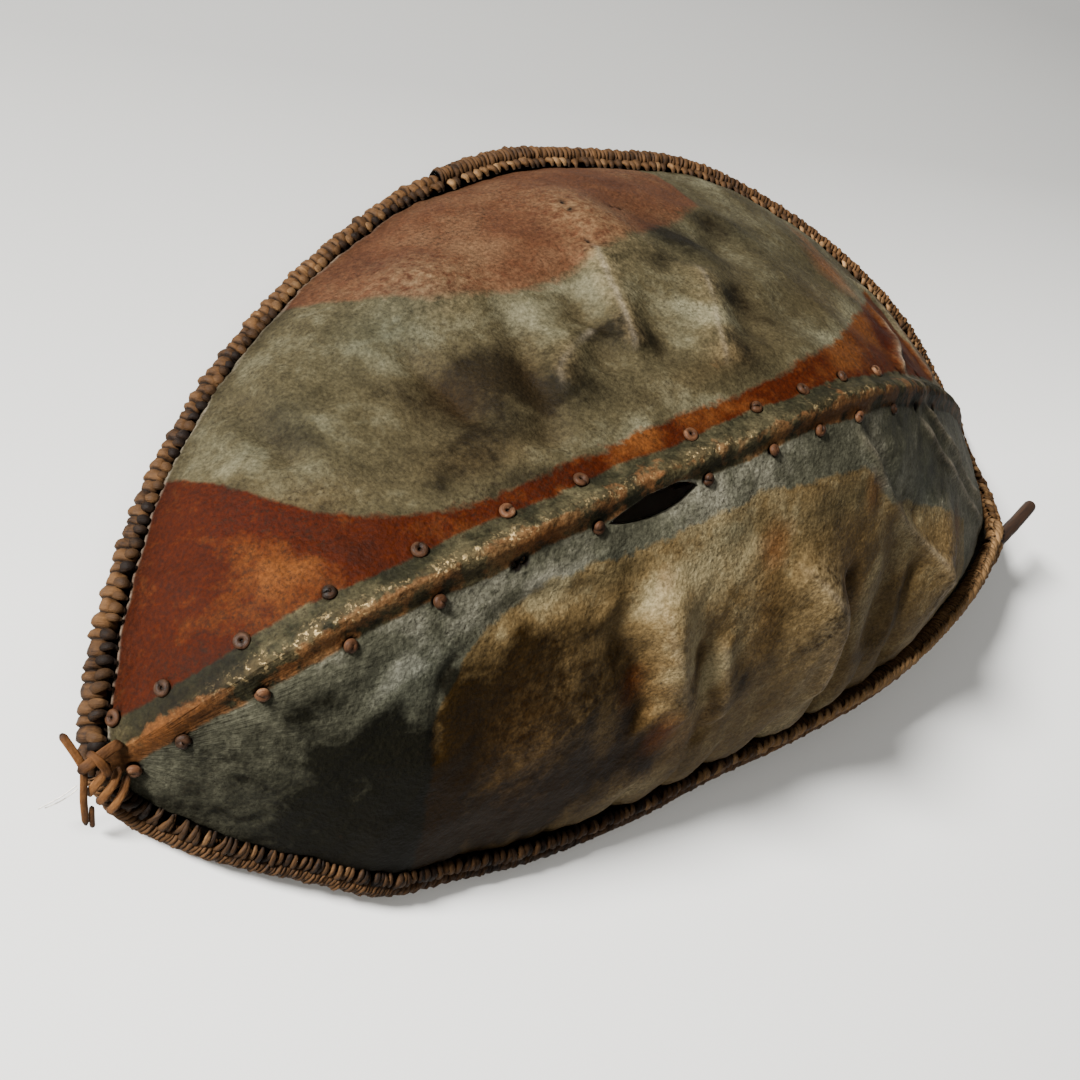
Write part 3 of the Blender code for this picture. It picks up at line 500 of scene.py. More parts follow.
def hide_height(here, off_rib, off_rim, side, offset, fine):
    """How far the real hide stands off the plain dome, along its normal."""
    x, y = here[..., 0], here[..., 1]
    rib_fade = smooth((off_rib - RELIEF_START) / (RELIEF_FULL - RELIEF_START))
    rim_fade = np.clip(off_rim / RELIEF_FULL, 0, 1)
    height = clouded(DENTS, x, y) * rib_fade * rim_fade
    edge_fade = smooth(off_rim / 0.016) * smooth((off_rib - 0.010) / 0.012)
    for tall, wide, _, gap, ends in folds_at(x, y):
        height += tall * np.exp(-(gap / wide)**2) * ends * edge_fade
    from_roll = rim_gap(here, side)
    height += near_swell(x, from_roll, side) - rim_tuck(x, from_roll, side)
    height -= EDGE_DROP * trimmed(here, from_roll, side) * smooth(from_roll / ROLL_TOUCH)
    near_rim = np.exp(-(off_rim / 0.030)**2) * smooth(off_rim / 0.004)
    height += 0.0007 * near_rim * lumps(here * (1.0, 1.0, 0.4), 0.010, 7.3)
    spread = smooth(off_rim / 0.03)
    height += 0.0018 * spread * rib_fade * lumps(here, 0.055, 3.1)
    if fine:
        height += 0.00055 * spread * lumps(here, 0.018, 11.7)
        height += 0.00022 * spread * lumps(here, 0.0065, 23.9)
        crest = np.exp(-(off_rib / 0.0045)**2)
        height += 0.0009 * crest * lumps(here, 0.0050, 41.0)
    gap = offset - SLIT_OFFSET
    open_here = slit_opening(x) / (SLIT_WIDTH / 2)
    height += np.where(gap > 0, SLIT_LIFT * np.exp(-np.abs(gap) / SLIT_REACH),
                       -SLIT_SINK * np.exp(-np.abs(gap) / SLIT_SINK_REACH)) * open_here
    return height


def lace_holes():
    """Every hole for a thong: x, signed offset, whether a knob still fills it."""
    holes = [(x, side * LACE_OFFSET, not (i == BROKEN_LACE and side < 0))
             for i, x in enumerate(LACE_STATIONS) for side in (1, -1)]
    holes += [(x, side * LACE_OFFSET, False) for x in EMPTY_HOLES for side in (1, -1)]
    return holes + [(DOUBLED_HOLE, -LACE_OFFSET - 0.0006, False)]


# ------------------------------------------------------------------ making pieces
def add_piece(name, verts, faces, material, nodes=(), layers=None):
    """A mesh from its points and faces that rides on the shield and stands for CAD nodes."""
    data = bpy.data.meshes.new(name)
    data.from_pydata((np.asarray(verts) - FOOTPRINT_MIDDLE).tolist(), [], faces)
    if data.validate():
        raise RuntimeError(f"{name}: the mesh had faults")
    data.shade_smooth()
    for key, values in (layers or {}).items():
        values = np.asarray(values, np.float32)
        vector = values.ndim == 2
        layer = data.attributes.new(key, "FLOAT_VECTOR" if vector else "FLOAT", "POINT")
        layer.data.foreach_set("vector" if vector else "value", values.ravel())
    data.materials.append(material)
    item = bpy.data.objects.new(name, data)
    bpy.context.scene.collection.objects.link(item)
    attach(item, "root")
    if nodes:
        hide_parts(*nodes)


def grid_faces(rows, columns, closed=False):
    """Quads between neighbouring rows of points; closed joins each row's ends."""
    index = np.arange(rows * columns).reshape(rows, columns)
    if closed:
        index = np.hstack([index, index[:, :1]])
    quads = np.stack([index[:-1, :-1], index[1:, :-1], index[1:, 1:], index[:-1, 1:]], axis=-1)
    return quads.reshape(-1, 4).tolist()


def tube_faces(rings, sides):
    """Quads round a tube and one face at each of its ends."""
    return [*grid_faces(rings, sides, closed=True), list(range(sides))[::-1],
            [(rings - 1) * sides + i for i in range(sides)]]


class Bundle:
    """Gathers many small closed forms into one mesh."""

    def __init__(self):
        self.verts, self.faces, self.layers, self.count = [], [], {}, 0

    def add(self, verts, faces, **layers):
        self.faces += [[i + self.count for i in face] for face in faces]
        self.verts.append(verts)
        for key, values in layers.items():
            values = np.asarray(values, float)
            if values.ndim == 0:
                values = np.full(len(verts), float(values))
            self.layers.setdefault(key, []).append(values)
        self.count += len(verts)

    def strap(self, path, across, wide, thick, sides, square=1.0, **layers):
        points, faces, swept = sweep(path, across, wide, thick, sides, square)
        self.add(points, faces, **layers, **swept)

    def piece(self, name, material, nodes=()):
        layers = {key: np.concatenate(parts) for key, parts in self.layers.items()}
        add_piece(name, np.vstack(self.verts), self.faces, material, nodes, layers)


def sweep(path, across, wide, thick, sides=10, square=1.0):
    """A strap of rounded section along a path, closed at both ends.

    across is the strap's width direction at each point; square below 1 makes the section boxy.
    Returns points, faces, and the layers that the thong materials read.
    """
    path = np.asarray(path, float)
    count = len(path)
    across = np.broadcast_to(np.asarray(across, float), path.shape).copy()
    tangent = np.gradient(path, axis=0)
    tangent /= np.linalg.norm(tangent, axis=1, keepdims=True) + 1e-12
    across -= tangent * (across * tangent).sum(1, keepdims=True)
    across /= np.linalg.norm(across, axis=1, keepdims=True)
    up = np.cross(tangent, across)
    wide, thick = (np.broadcast_to(np.asarray(v, float), count) for v in (wide, thick))
    turn = np.arange(sides) / sides * 2 * math.pi
    c = np.sign(np.cos(turn)) * np.abs(np.cos(turn))**square
    s = np.sign(np.sin(turn)) * np.abs(np.sin(turn))**square
    rings = (path[:, None] + across[:, None] * (wide[:, None] * c)[..., None]
             + up[:, None] * (thick[:, None] * s)[..., None])
    run = np.concatenate([[0], np.cumsum(np.linalg.norm(np.diff(path, axis=0), axis=1))])
    strand = np.stack([np.broadcast_to(run[:, None], (count, sides)),
                       wide[:, None] * c, thick[:, None] * s], axis=-1)
    share = run / run[-1]
    # crest carries painted shade for the thong materials: darker towards the cut ends and on the
    # strap's underside
    crest = np.clip(np.minimum(share, 1 - share) * 5, 0, 1)[:, None] * (0.65 + 0.35 * s)
    layers = {"strand": strand.reshape(-1, 3), "crest": crest.ravel()}
    return rings.reshape(-1, 3), tube_faces(count, sides), layers


def normalised(vectors):
    return vectors / np.linalg.norm(vectors, axis=-1, keepdims=True)


# ------------------------------------------------------------------ the rim's own frame
class Rim:
    """The roll's middle line with its direction, the way into the hide, and the way out of it."""

    def __init__(self):
        line = rim_line(0.002)[:-1]
        steps = np.linalg.norm(np.diff(np.vstack([line, line[:1]]), axis=0), axis=1)
        self.run = np.concatenate([[0], np.cumsum(steps)])
        self.length = self.run[-1]
        ahead = normalised(np.roll(line, -1, axis=0) - np.roll(line, 1, axis=0))
        inward = self.into_hide(line, ahead)
        inward -= ahead * (inward * ahead).sum(1, keepdims=True)
        inward = normalised(sum(np.roll(inward, k, axis=0) for k in range(-6, 7)))
        inward = normalised(inward - ahead * (inward * ahead).sum(1, keepdims=True))
        outward = np.cross(ahead, inward)
        self.rows = [np.vstack([v, v[:1]]) for v in (line, ahead, inward, outward)]

    @staticmethod
    def into_hide(line, ahead):
        """From each place on the rim, the direction of the hide about a centimetre away."""
        xs = np.arange(LEFT_TIP[0] + 0.002, RIGHT_TIP[0] - 0.002, 0.002)
        grid_x, grid_t = np.meshgrid(xs, np.linspace(0, 1, 90), indexing="ij")
        cloud = np.vstack([base_surface(grid_x, grid_t, np.full(grid_x.shape, side))[0]
                           .reshape(-1, 3) for side in (1, -1)])
        tree = kdtree.KDTree(len(cloud))
        for i, point in enumerate(cloud):
            tree.insert(point, i)
        tree.balance()
        result = np.zeros_like(line)
        for i, (place, forward) in enumerate(zip(line, ahead)):
            side_on = np.array((-forward[1], forward[0], 0.4))
            for _, index, gap in tree.find_range(place, 0.0115):
                away = cloud[index] - place
                if gap > 0.0085 and abs(away @ forward) < 0.003 and away @ side_on > 0:
                    result[i] += away
            if not result[i].any():
                result[i] = side_on
        return normalised(result)

    def at(self, run):
        """Middle, ahead, inward and outward at each distance from the left tip."""
        run = np.asarray(run, float) % self.length
        rows = [np.stack([np.interp(run, self.run, row[:, k]) for k in range(3)], axis=-1)
                for row in self.rows]
        return [rows[0]] + [normalised(row) for row in rows[1:]]

    def run_at(self, station):
        nearest = np.argmin(np.linalg.norm(self.rows[0] - np.array(station), axis=1))
        return self.run[nearest]


RIM = Rim()


# ------------------------------------------------------------------ colours and nodes
def linear(hex_colour, alpha=True):
    """An sRGB hex colour as linear values."""
    parts = [int(hex_colour[i:i + 2], 16) / 255 for i in (0, 2, 4)]
    values = [v / 12.92 if v <= 0.04045 else ((v + 0.055) / 1.055)**2.4 for v in parts]
    return (*values, 1.0) if alpha else tuple(values)


def per(millimetres):
    """Texture scale that gives one cell of this many millimetres."""
    return 1000.0 / millimetres


def add_node(tree, kind, inputs=None, stops=None, **settings):
    """Add a node: inputs are values or the sockets that feed them, stops are a ramp's colours."""
    item = tree.nodes.new(kind)
    for key, value in settings.items():
        setattr(item, key, value)
    for key, value in (inputs or {}).items():
        if isinstance(value, bpy.types.NodeSocket):
            tree.links.new(value, item.inputs[key])
        else:
            item.inputs[key].default_value = value
    if stops:
        ramp = item.color_ramp
        while len(ramp.elements) < len(stops):
            ramp.elements.new(1.0)
        for element, (place, colour) in zip(ramp.elements, stops):
            element.position = place
            element.color = colour if not isinstance(colour, str) else linear(colour)
    return item


def new_material(name):
    """An empty material with a Principled shader, and a shorthand that adds nodes to it."""
    material = bpy.data.materials.new(name)
    material.use_nodes = True
    tree = material.node_tree
    shader = tree.nodes["Principled BSDF"]

    def add(kind, inputs=None, stops=None, out=0, **settings):
        return add_node(tree, kind, inputs, stops, **settings).outputs[out]

    def feed(name, socket):
        tree.links.new(socket, shader.inputs[name])

    return material, shader, add, feed


# washes that multiply the paint: fat soaked into bare hide, thick cool paint, fat on paint
FAT_ORANGE = (1.26, 1.0, 0.70, 1.0)
THICK_PAINT = (0.84, 0.96, 1.10, 1.0)
FAT_WARMED = (1.07, 0.93, 0.80, 1.0)
HIDE_LAYERS = ("near_side", "rust_edge", "top_edge", "brown_edge", "strip_edge", "lower_flank",
               "orange", "tint", "clouds", "swell", "stains", "seam", "crease", "crest", "hole",
               "inside", "fan_strength")
# noise in the painted hide: size in millimetres, detail, roughness, distortion
HIDE_NOISE = {"broad": (70, 3.0, 0.5, 0.0), "patchy": (24, 5.0, 0.62, 0.4),
              "speckle": (6.0, 4.0, 0.7, 0.0), "grain": (2.2, 4.0, 0.7, 0.0),
              "worn": (17, 5.0, 0.65, 0.0), "bare_and_glinting": (11, 3.0, 0.6, 0.0),
              "fleck": (3.2, 3.0, 0.7, 0.0), "crust": (2.8, 4.0, 0.75, 0.0)}
# how softly each paint ends, in metres
PAINT_EDGES = {"rust_edge": 0.0022, "top_edge": 0.0030, "brown_edge": 0.0016,
               "near_side": 0.0004}
MATH, MIX, RANGE = "ShaderNodeMath", "ShaderNodeMix", "ShaderNodeMapRange"
OVER = {"out": 2, "data_type": "RGBA", "clamp_factor": True}
TIMES = {**OVER, "blend_type": "MULTIPLY"}


def painted_rawhide(paint):
    """Sun-dried rawhide, scraped, painted in earth colours and rubbed with fat.

    The eye gets a clouded, uneven skin, nearly matt, with a low satin shine where hands polish it.
    """
    material, shader, add, feed = new_material("painted_rawhide_fat_rubbed")
    place = add("ShaderNodeTexCoord", out="Object")
    layer = {name: add("ShaderNodeAttribute", out="Fac", attribute_name=name)
             for name in HIDE_LAYERS}
    cloud = {name: add("ShaderNodeTexNoise", {"Vector": place, "Scale": per(size),
                                              "Detail": detail, "Roughness": rough,
                                              "Distortion": distort})
             for name, (size, detail, rough, distort) in HIDE_NOISE.items()}

    # one mottle for every paint: broad clouds, patches, speckle and the painted-in clouds with
    # their painted shading
    mottle = -0.04
    for part, weight in ((cloud["broad"], 0.46), (cloud["patchy"], 0.36),
                         (cloud["speckle"], 0.22), (layer["clouds"], 0.35)):
        mottle = add(MATH, {0: part, 1: weight, 2: mottle}, operation="MULTIPLY_ADD")
    shade = {name: add("ShaderNodeValToRGB", {0: mottle}, paint.stops(name))
             for name in ("field", "rust", "top", "slate", "brown", "strip", "worn")}

    # the borders of the paints wander a little
    wobble = add(MATH, {0: cloud["speckle"], 1: 0.010, 2: -0.0133}, operation="MULTIPLY_ADD")
    wobble = add(MATH, {0: cloud["patchy"], 1: 0.016, 2: wobble}, operation="MULTIPLY_ADD")
    area = {}
    for name, soft in PAINT_EDGES.items():
        inside = add(MATH, {0: layer[name], 1: wobble}, operation="ADD")
        area[name] = add(RANGE, {0: inside, 1: -soft, 2: soft})
    far = add(MIX, {0: area["rust_edge"], 6: shade["field"], 7: shade["rust"]}, **OVER)
    far = add(MIX, {0: area["top_edge"], 6: far, 7: shade["top"]}, **OVER)
    near = add(MIX, {0: area["brown_edge"], 6: shade["slate"], 7: shade["brown"]}, **OVER)
    colour = add(MIX, {0: area["near_side"], 6: far, 7: near}, **OVER)

    # the painted strip along the rib: dark above, worn to orange hide below
    bare = add(MATH, {0: cloud["worn"], 1: 3.6, 2: -1.8}, operation="MULTIPLY_ADD")
    bare = add(MATH, {0: layer["lower_flank"], 1: bare}, operation="ADD")
    bare = add(RANGE, {0: bare, 1: 0.15, 2: 0.55})
    strip = add(MIX, {0: bare, 6: shade["strip"], 7: shade["worn"]}, **OVER)
    orange = add(RANGE, {0: layer["orange"], 1: 0.0, 2: 1.0})
    strip = add(MIX, {0: orange, 6: strip, 7: FAT_ORANGE}, **TIMES)
    beside = add(MATH, {0: wobble, 1: 0.35, 2: layer["strip_edge"]}, operation="MULTIPLY_ADD")
    beside = add(RANGE, {0: beside, 1: -0.0008, 2: 0.0008})
    colour = add(MIX, {0: beside, 6: colour, 7: strip}, **OVER)

    # fat stains; swells paled where worn and by painted highlight; painted shade in the hollows, in
    # the margin by the roll and round the holes
    stained = add(MATH, {0: cloud["patchy"], 1: 0.8, 2: layer["stains"]},
                  operation="MULTIPLY_ADD")
    stained = add(RANGE, {0: stained, 1: 0.55, 2: 1.15, 4: 0.5})
    # swells: paler where rubbed, with painted highlight on them as well
    swell = add(RANGE, {0: layer["swell"], 1: 0.0, 2: 1.0})
    rubbed_and_highlit = add(MATH, {0: swell, 1: add(RANGE, {0: cloud["speckle"], 1: 0.35, 2: 0.65})},
              operation="MULTIPLY")
    bare_and_glinting = add(MATH, {0: layer["crest"], 1: add(RANGE, {0: cloud["bare_and_glinting"], 1: 0.38, 2: 0.60})},
                operation="MULTIPLY")
    wear_and_painted_light = ((rubbed_and_highlit, 0.30, "a08c66"),
            # painted shade: darker in the hollows of the dents and folds
            (add(RANGE, {0: layer["swell"], 1: 0.0, 2: -1.0}), 0.35, "24180a"),
            # pale fold creases where worn, and painted highlight on the far trimmed edge
            (layer["crease"], add(RANGE, {0: cloud["patchy"], 1: 0.35, 2: 0.60, 3: 0.1875,
                                          4: 0.75}), "8a8070"),
            # painted shade by the rim's roll
            (layer["seam"], add(RANGE, {0: cloud["speckle"], 1: 0.3, 2: 0.7, 3: 0.75, 4: 1.0}),
             "0a0603"),
            # pale flecks on the rib's crest: bare hide, and painted glints
            (bare_and_glinting, 0.35, "5e4e34"),
            (bare_and_glinting, add(RANGE, {0: cloud["fleck"], 1: 0.55, 2: 0.63}), "a89064"),
            # painted shade in the holes and nicks, and on the cut walls of holes and slit
            (layer["hole"], 1.0, "090604"), (layer["inside"], 1.0, "140c06"))
    colour = add(MIX, {0: stained, 6: colour, 7: linear("5a2f10")}, **OVER)
    for where, strength, hex_colour in wear_and_painted_light:
        cover = add(MATH, {0: where, 1: strength}, operation="MULTIPLY")
        colour = add(MIX, {0: cover, 6: colour, 7: linear(hex_colour)}, **OVER)

    # the colour cools where the paint lies thick and warms where fat has darkened it
    for way, wash in ((1.0, THICK_PAINT), (-1.0, FAT_WARMED)):
        cover = add(RANGE, {0: layer["tint"], 1: 0.0, 2: way})
        colour = add(MIX, {0: cover, 6: colour, 7: wash}, **TIMES)

    # fine dark crackle where old paint and fat have crusted, and the skin's own pores
    thick = add(MATH, {0: layer["tint"], 1: -0.08, 2: cloud["broad"]}, operation="MULTIPLY_ADD")
    crust = add(MATH, {0: add(RANGE, {0: cloud["crust"], 1: 0.52, 2: 0.62, 4: 0.55}),
                       1: add(RANGE, {0: thick, 1: 0.44, 2: 0.62})}, operation="MULTIPLY")
    colour = add(MIX, {0: crust, 6: colour, 7: linear("120c06")}, **OVER)
    creases = add("ShaderNodeTexVoronoi", {"Vector": place, "Scale": per(3.0), "Randomness": 1.0},
                  feature="SMOOTH_F1", distance="EUCLIDEAN")
    pore = add(MATH, {0: add(RANGE, {0: cloud["grain"], 1: 0.34, 2: 0.66, 3: 0.62, 4: 1.36}),
                      1: add(RANGE, {0: creases, 1: 0.1, 2: 0.6, 3: 1.08, 4: 0.86})},
               operation="MULTIPLY")
    pore = add("ShaderNodeCombineColor", {0: pore, 1: pore, 2: pore})
    feed("Base Color", add(MIX, {0: 1.0, 6: colour, 7: pore}, **TIMES))

    polish = 0.42
    for part, weight in ((cloud["grain"], 0.22), (cloud["patchy"], 0.30), (rubbed_and_highlit, -0.10),
                         (layer["inside"], 0.5)):
        polish = add(MATH, {0: part, 1: weight, 2: polish}, operation="MULTIPLY_ADD")
    feed("Roughness", add(RANGE, {0: polish, 1: 0.0, 2: 1.0}))
    shader.inputs["IOR"].default_value = 1.48
    shader.inputs["Specular IOR Level"].default_value = 0.05

    # pores and creases of the skin, and the wrinkles that fan out from the knotted tip
    fan = add("ShaderNodeAttribute", out="Vector", attribute_name="fan")
    fan = add("ShaderNodeTexNoise", {"Vector": fan, "Scale": 1.0, "Detail": 3.0,
                                     "Roughness": 0.6})
    fan = add(MATH, {0: fan, 1: layer["fan_strength"]}, operation="MULTIPLY")
    relief = 0.0
    for part, weight in ((cloud["grain"], 0.90), (creases, 0.60), (cloud["speckle"], 1.1),
                         (fan, 2.4)):
        relief = add(MATH, {0: part, 1: weight, 2: relief}, operation="MULTIPLY_ADD")
    feed("Normal", add("ShaderNodeBump", {"Strength": 0.65, "Distance": 0.0011,
                                          "Height": relief}))
    return material


def raw_hide_back(paint):
    """The unpainted flesh side of the same hide, scraped with a blade and dried.

    The eye gets a pale tan, horny skin with darker smears and scraping streaks.
    """
    material, shader, add, feed = new_material("scraped_rawhide_flesh_side")
    place = add("ShaderNodeTexCoord", out="Object")
    broad = add("ShaderNodeTexNoise", {"Vector": place, "Scale": per(45), "Detail": 5.0,
                                       "Roughness": 0.62})
    along = add("ShaderNodeMapping", {0: place, 3: (0.25, 1.0, 1.0)})
    streaks = add("ShaderNodeTexNoise", {"Vector": along, "Scale": per(4), "Detail": 4.0,
                                         "Roughness": 0.6})
    mottle = add(MATH, {0: streaks, 1: 0.35, 2: broad}, operation="MULTIPLY_ADD")
    mottle = add(MATH, {0: mottle, 1: 0.17}, operation="SUBTRACT")
    feed("Base Color", add("ShaderNodeValToRGB", {0: mottle}, paint.stops("back")))
    feed("Roughness", add(RANGE, {0: broad, 1: 0.3, 2: 0.7, 3: 0.55, 4: 0.78}))
    feed("Normal", add("ShaderNodeBump", {"Strength": 0.6, "Distance": 0.0012, "Height": streaks}))
    shader.inputs["IOR"].default_value = 1.48
    return material


def thong_leather(name, dark, middle, light, shine):
    """Narrow hide thong, wound on wet, dried hard and darkened with fat and smoke.

    The eye gets dull brown straps, painted lighter on top where they stand proud, with painted
    shade black in the grooves and darker underneath.
    """
    material, shader, add, feed = new_material(name)
    place = add("ShaderNodeTexCoord", out="Object")
    strand = add("ShaderNodeAttribute", out="Vector", attribute_name="strand")
    tone = add("ShaderNodeAttribute", out="Fac", attribute_name="tone")
    crest = add("ShaderNodeAttribute", out="Fac", attribute_name="crest")
    stretched = add("ShaderNodeMapping", {0: strand, 3: (0.22, 1.0, 1.0)})
    fibres = add("ShaderNodeTexNoise", {"Vector": stretched, "Scale": per(1.0), "Detail": 3.0,
                                        "Roughness": 0.65})
    patches = add("ShaderNodeTexNoise", {"Vector": place, "Scale": per(7), "Detail": 4.0,
                                         "Roughness": 0.65})
    wide = add("ShaderNodeTexNoise", {"Vector": place, "Scale": per(60), "Detail": 2.0})
    mix = add(MATH, {0: patches, 1: 0.36, 2: 0.045}, operation="MULTIPLY_ADD")
    mix = add(MATH, {0: fibres, 1: 0.20, 2: mix}, operation="MULTIPLY_ADD")
    mix = add(MATH, {0: tone, 1: 0.30, 2: mix}, operation="MULTIPLY_ADD")
    mix = add(MATH, {0: wide, 1: 0.30, 2: mix}, operation="MULTIPLY_ADD")
    ramp = add("ShaderNodeValToRGB", {0: mix}, [(0.38, dark), (0.62, middle), (0.86, light)])
    # painted shade: darker in the grooves, at the ends and under the straps
    groove_shade = add(RANGE, {0: crest, 1: 0.0, 2: 0.70, 3: 0.08, 4: 1.0})
    shade = add("ShaderNodeCombineColor", {0: groove_shade, 1: groove_shade, 2: groove_shade})
    feed("Base Color", add(MIX, {0: 1.0, 6: ramp, 7: shade}, out=2, data_type="RGBA",
                           blend_type="MULTIPLY"))
    feed("Roughness", add(RANGE, {0: patches, 1: 0.3, 2: 0.7, 3: shine, 4: shine + 0.25}))
    height = add(MATH, {0: patches, 1: 1.6, 2: fibres}, operation="MULTIPLY_ADD")
    feed("Normal", add("ShaderNodeBump", {"Strength": 0.8, "Distance": 0.0006, "Height": height}))
    shader.inputs["IOR"].default_value = 1.48
    shader.inputs["Specular IOR Level"].default_value = 0.09
    return material


def bare_hardwood(name, dark, light):
    """A peeled hardwood rod, whittled round and darkened by hands.

    The eye gets long fine grain, brown-black in the pores, with a slight handled sheen.
    """
    material, shader, add, feed = new_material(name)
    strand = add("ShaderNodeAttribute", out="Vector", attribute_name="strand")
    stretched = add("ShaderNodeMapping", {0: strand, 3: (0.05, 1.0, 1.0)})
    grain = add("ShaderNodeTexNoise", {"Vector": stretched, "Scale": per(1.3), "Detail": 5.0,
                                       "Roughness": 0.65, "Distortion": 0.3})
    wide = add("ShaderNodeTexNoise", {"Vector": stretched, "Scale": per(6), "Detail": 3.0})
    mix = add(MATH, {0: grain, 1: 0.6, 2: 0.0}, operation="MULTIPLY_ADD")
    mix = add(MATH, {0: wide, 1: 0.4, 2: mix}, operation="MULTIPLY_ADD")
    feed("Base Color", add("ShaderNodeValToRGB", {0: mix}, [(0.36, dark), (0.64, light)]))
    feed("Roughness", add(RANGE, {0: grain, 1: 0.3, 2: 0.7, 3: 0.48, 4: 0.68}))
    feed("Normal", add("ShaderNodeBump", {"Strength": 0.5, "Distance": 0.0005, "Height": grain}))
    shader.inputs["IOR"].default_value = 1.5
    shader.inputs["Specular IOR Level"].default_value = 0.25
    return material


def sinew_thread(name, colour):
    """Split sinew or fibre, twisted thin: a pale, slightly glossy hair-like strand."""
    material, shader, add, feed = new_material(name)
    strand = add("ShaderNodeAttribute", out="Vector", attribute_name="strand")
    twist = add("ShaderNodeTexNoise", {"Vector": strand, "Scale": per(1.2), "Detail": 2.0})
    dull = tuple(0.6 * v for v in colour[:3]) + (1.0,)
    feed("Base Color", add("ShaderNodeValToRGB", {0: twist}, [(0.35, dull), (0.6, colour)]))
    shader.inputs["Roughness"].default_value = 0.5
    return material


# painted light falloff on the backdrop: how far up it, and what share of its near brightness it has
# there
PAPER_PAINTED_FALLOFF = [(0.0, 1.0), (0.24, 0.94), (0.46, 0.66), (0.66, 0.42), (0.80, 0.36), (0.96, 0.28)]


def paper_with_painted_falloff(colour):
    """Matt backdrop paper with the light's falloff painted in, darkening evenly towards the far
    side.

    The eye gets a pale, warm-white ground near the shield that falls off to grey behind it.
    """
    material, shader, add, feed = new_material("matt_paper_with_painted_falloff")
    place = add("ShaderNodeTexCoord", out="Object")
    away = add("ShaderNodeVectorMath", {0: place, 1: (0.15, 1.0, 0.0)}, out="Value",
               operation="DOT_PRODUCT")
    share = add(RANGE, {0: away, 1: -0.25, 2: 0.60})
    shades = [(at, tuple(shade * v for v in colour[:3]) + (1.0,)) for at, shade in PAPER_PAINTED_FALLOFF]
    feed("Base Color", add("ShaderNodeValToRGB", {0: share}, shades))
    shader.inputs["Roughness"].default_value = 0.75
    return material


# ------------------------------------------------------------------ settings
def colour_property(name, description, hex_colour):
    return FloatVectorProperty(name=name, description=description, subtype="COLOR", size=3,
                               min=0.0, max=1.0, default=linear(hex_colour, alpha=False))


def length_property(name, description, default):
    return FloatProperty(name=name, description=description, default=default, min=0.0001,
                         unit="LENGTH", precision=4)


RAMP_PLACES = {"dark": 0.25, "middle": 0.47, "light": 0.68}


class ShieldPaint(bpy.types.PropertyGroup):
    """Three shades for each painted area of the hide."""

    field_dark: colour_property("Field, dark", "Olive field in its dark patches", "100d05")
    field_middle: colour_property("Field", "Olive field", "312c1d")
    field_light: colour_property("Field, light", "Olive field where it is scuffed", "4d4a39")
    rust_dark: colour_property("Rust, dark", "Red-brown band in its dark patches", "200700")
    rust_middle: colour_property("Rust", "Red-brown band beside the rib", "290a00")
    rust_light: colour_property("Rust, light", "Red-brown band where it is scuffed", "46260d")
    top_dark: colour_property("Far patch, dark", "Faded red patch, dark parts", "25120a")
    top_middle: colour_property("Far patch", "Faded red patch by the far rim", "392214")
    top_light: colour_property("Far patch, light", "Faded red patch, scuffed", "493524")
    slate_dark: colour_property("Slate, dark", "Blue-grey paint, dark parts", "0c0b05")
    slate_middle: colour_property("Slate", "Blue-grey paint beside the rib", "3d3c30")
    slate_light: colour_property("Slate, light", "Blue-grey paint, scuffed", "6d6a5c")
    brown_dark: colour_property("Brown, dark", "Brown near side in its dark patches", "1b1001")
    brown_middle: colour_property("Brown", "Brown near side", "504128")
    brown_light: colour_property("Brown, light", "Brown near side, scuffed", "766b4f")
    strip_dark: colour_property("Rib strip, dark", "Blackened strip on the rib", "080705")
    strip_middle: colour_property("Rib strip", "Strip on the rib", "19180e")
    strip_light: colour_property("Rib strip, light", "Strip on the rib, scuffed", "453f2c")
    worn_dark: colour_property("Worn rib, dark", "Rib worn to the hide, dark parts", "231609")
    worn_middle: colour_property("Worn rib", "Rib worn to the hide", "462e19")
    worn_light: colour_property("Worn rib, light", "Rib worn to the hide, pale parts", "59472f")
    back_dark: colour_property("Flesh side, dark", "Back of the hide, smears", "2c1d10")
    back_middle: colour_property("Flesh side", "Back of the hide", "553d27")
    back_light: colour_property("Flesh side, light", "Back of the hide, scraped", "7f6444")

    def stops(self, area):
        return [(place, (*getattr(self, f"{area}_{shade}"), 1.0))
                for shade, place in RAMP_PLACES.items()]


class ShieldSizes(bpy.types.PropertyGroup):
    """Sizes of the thongs, and how finely the hide is meshed."""

    roll_radius: length_property("Roll", "Rim rods under their thong, to the grooves", 0.0053)
    wrap_height: length_property("Wrap", "How far each turn of thong stands proud", 0.0015)
    stitch_reach: length_property("Stitch", "From the roll's middle to a stitch's hole", 0.0125)
    knob_radius: length_property("Knob", "Curled end of a lashing", 0.0052)
    thong_radius: length_property("Lashing", "Half the thickness of a lashing", 0.0016)
    hole_radius: length_property("Hole", "Hole for a lashing", 0.0026)
    hide_step: length_property("Hide mesh", "Grid spacing of the painted face", 0.0024)
    seed: IntProperty(name="Seed", description="Changes every random turn and tone", default=7,
                      min=0)


class ShieldStage(bpy.types.PropertyGroup):
    """The camera, the lights and the paper."""

    lens: FloatProperty(name="Lens", description="Focal length of the camera", default=45.42,
                        min=10.0, unit="CAMERA")
    key_power: FloatProperty(name="Key light", description="Power of the large soft light",
                             default=4700.0, min=0.0, unit="POWER")
    key_size: length_property("Key size", "Width of the large soft light", 1.9)
    fill_power: FloatProperty(name="Fill light", description="Power of the light on the near side",
                              default=6.0, min=0.0, unit="POWER")
    room_light: FloatProperty(name="Room light", description="Strength of the even room light",
                              default=0.38, min=0.0)
    paper: colour_property("Paper", "Colour of the paper underneath", "e9e9e6")


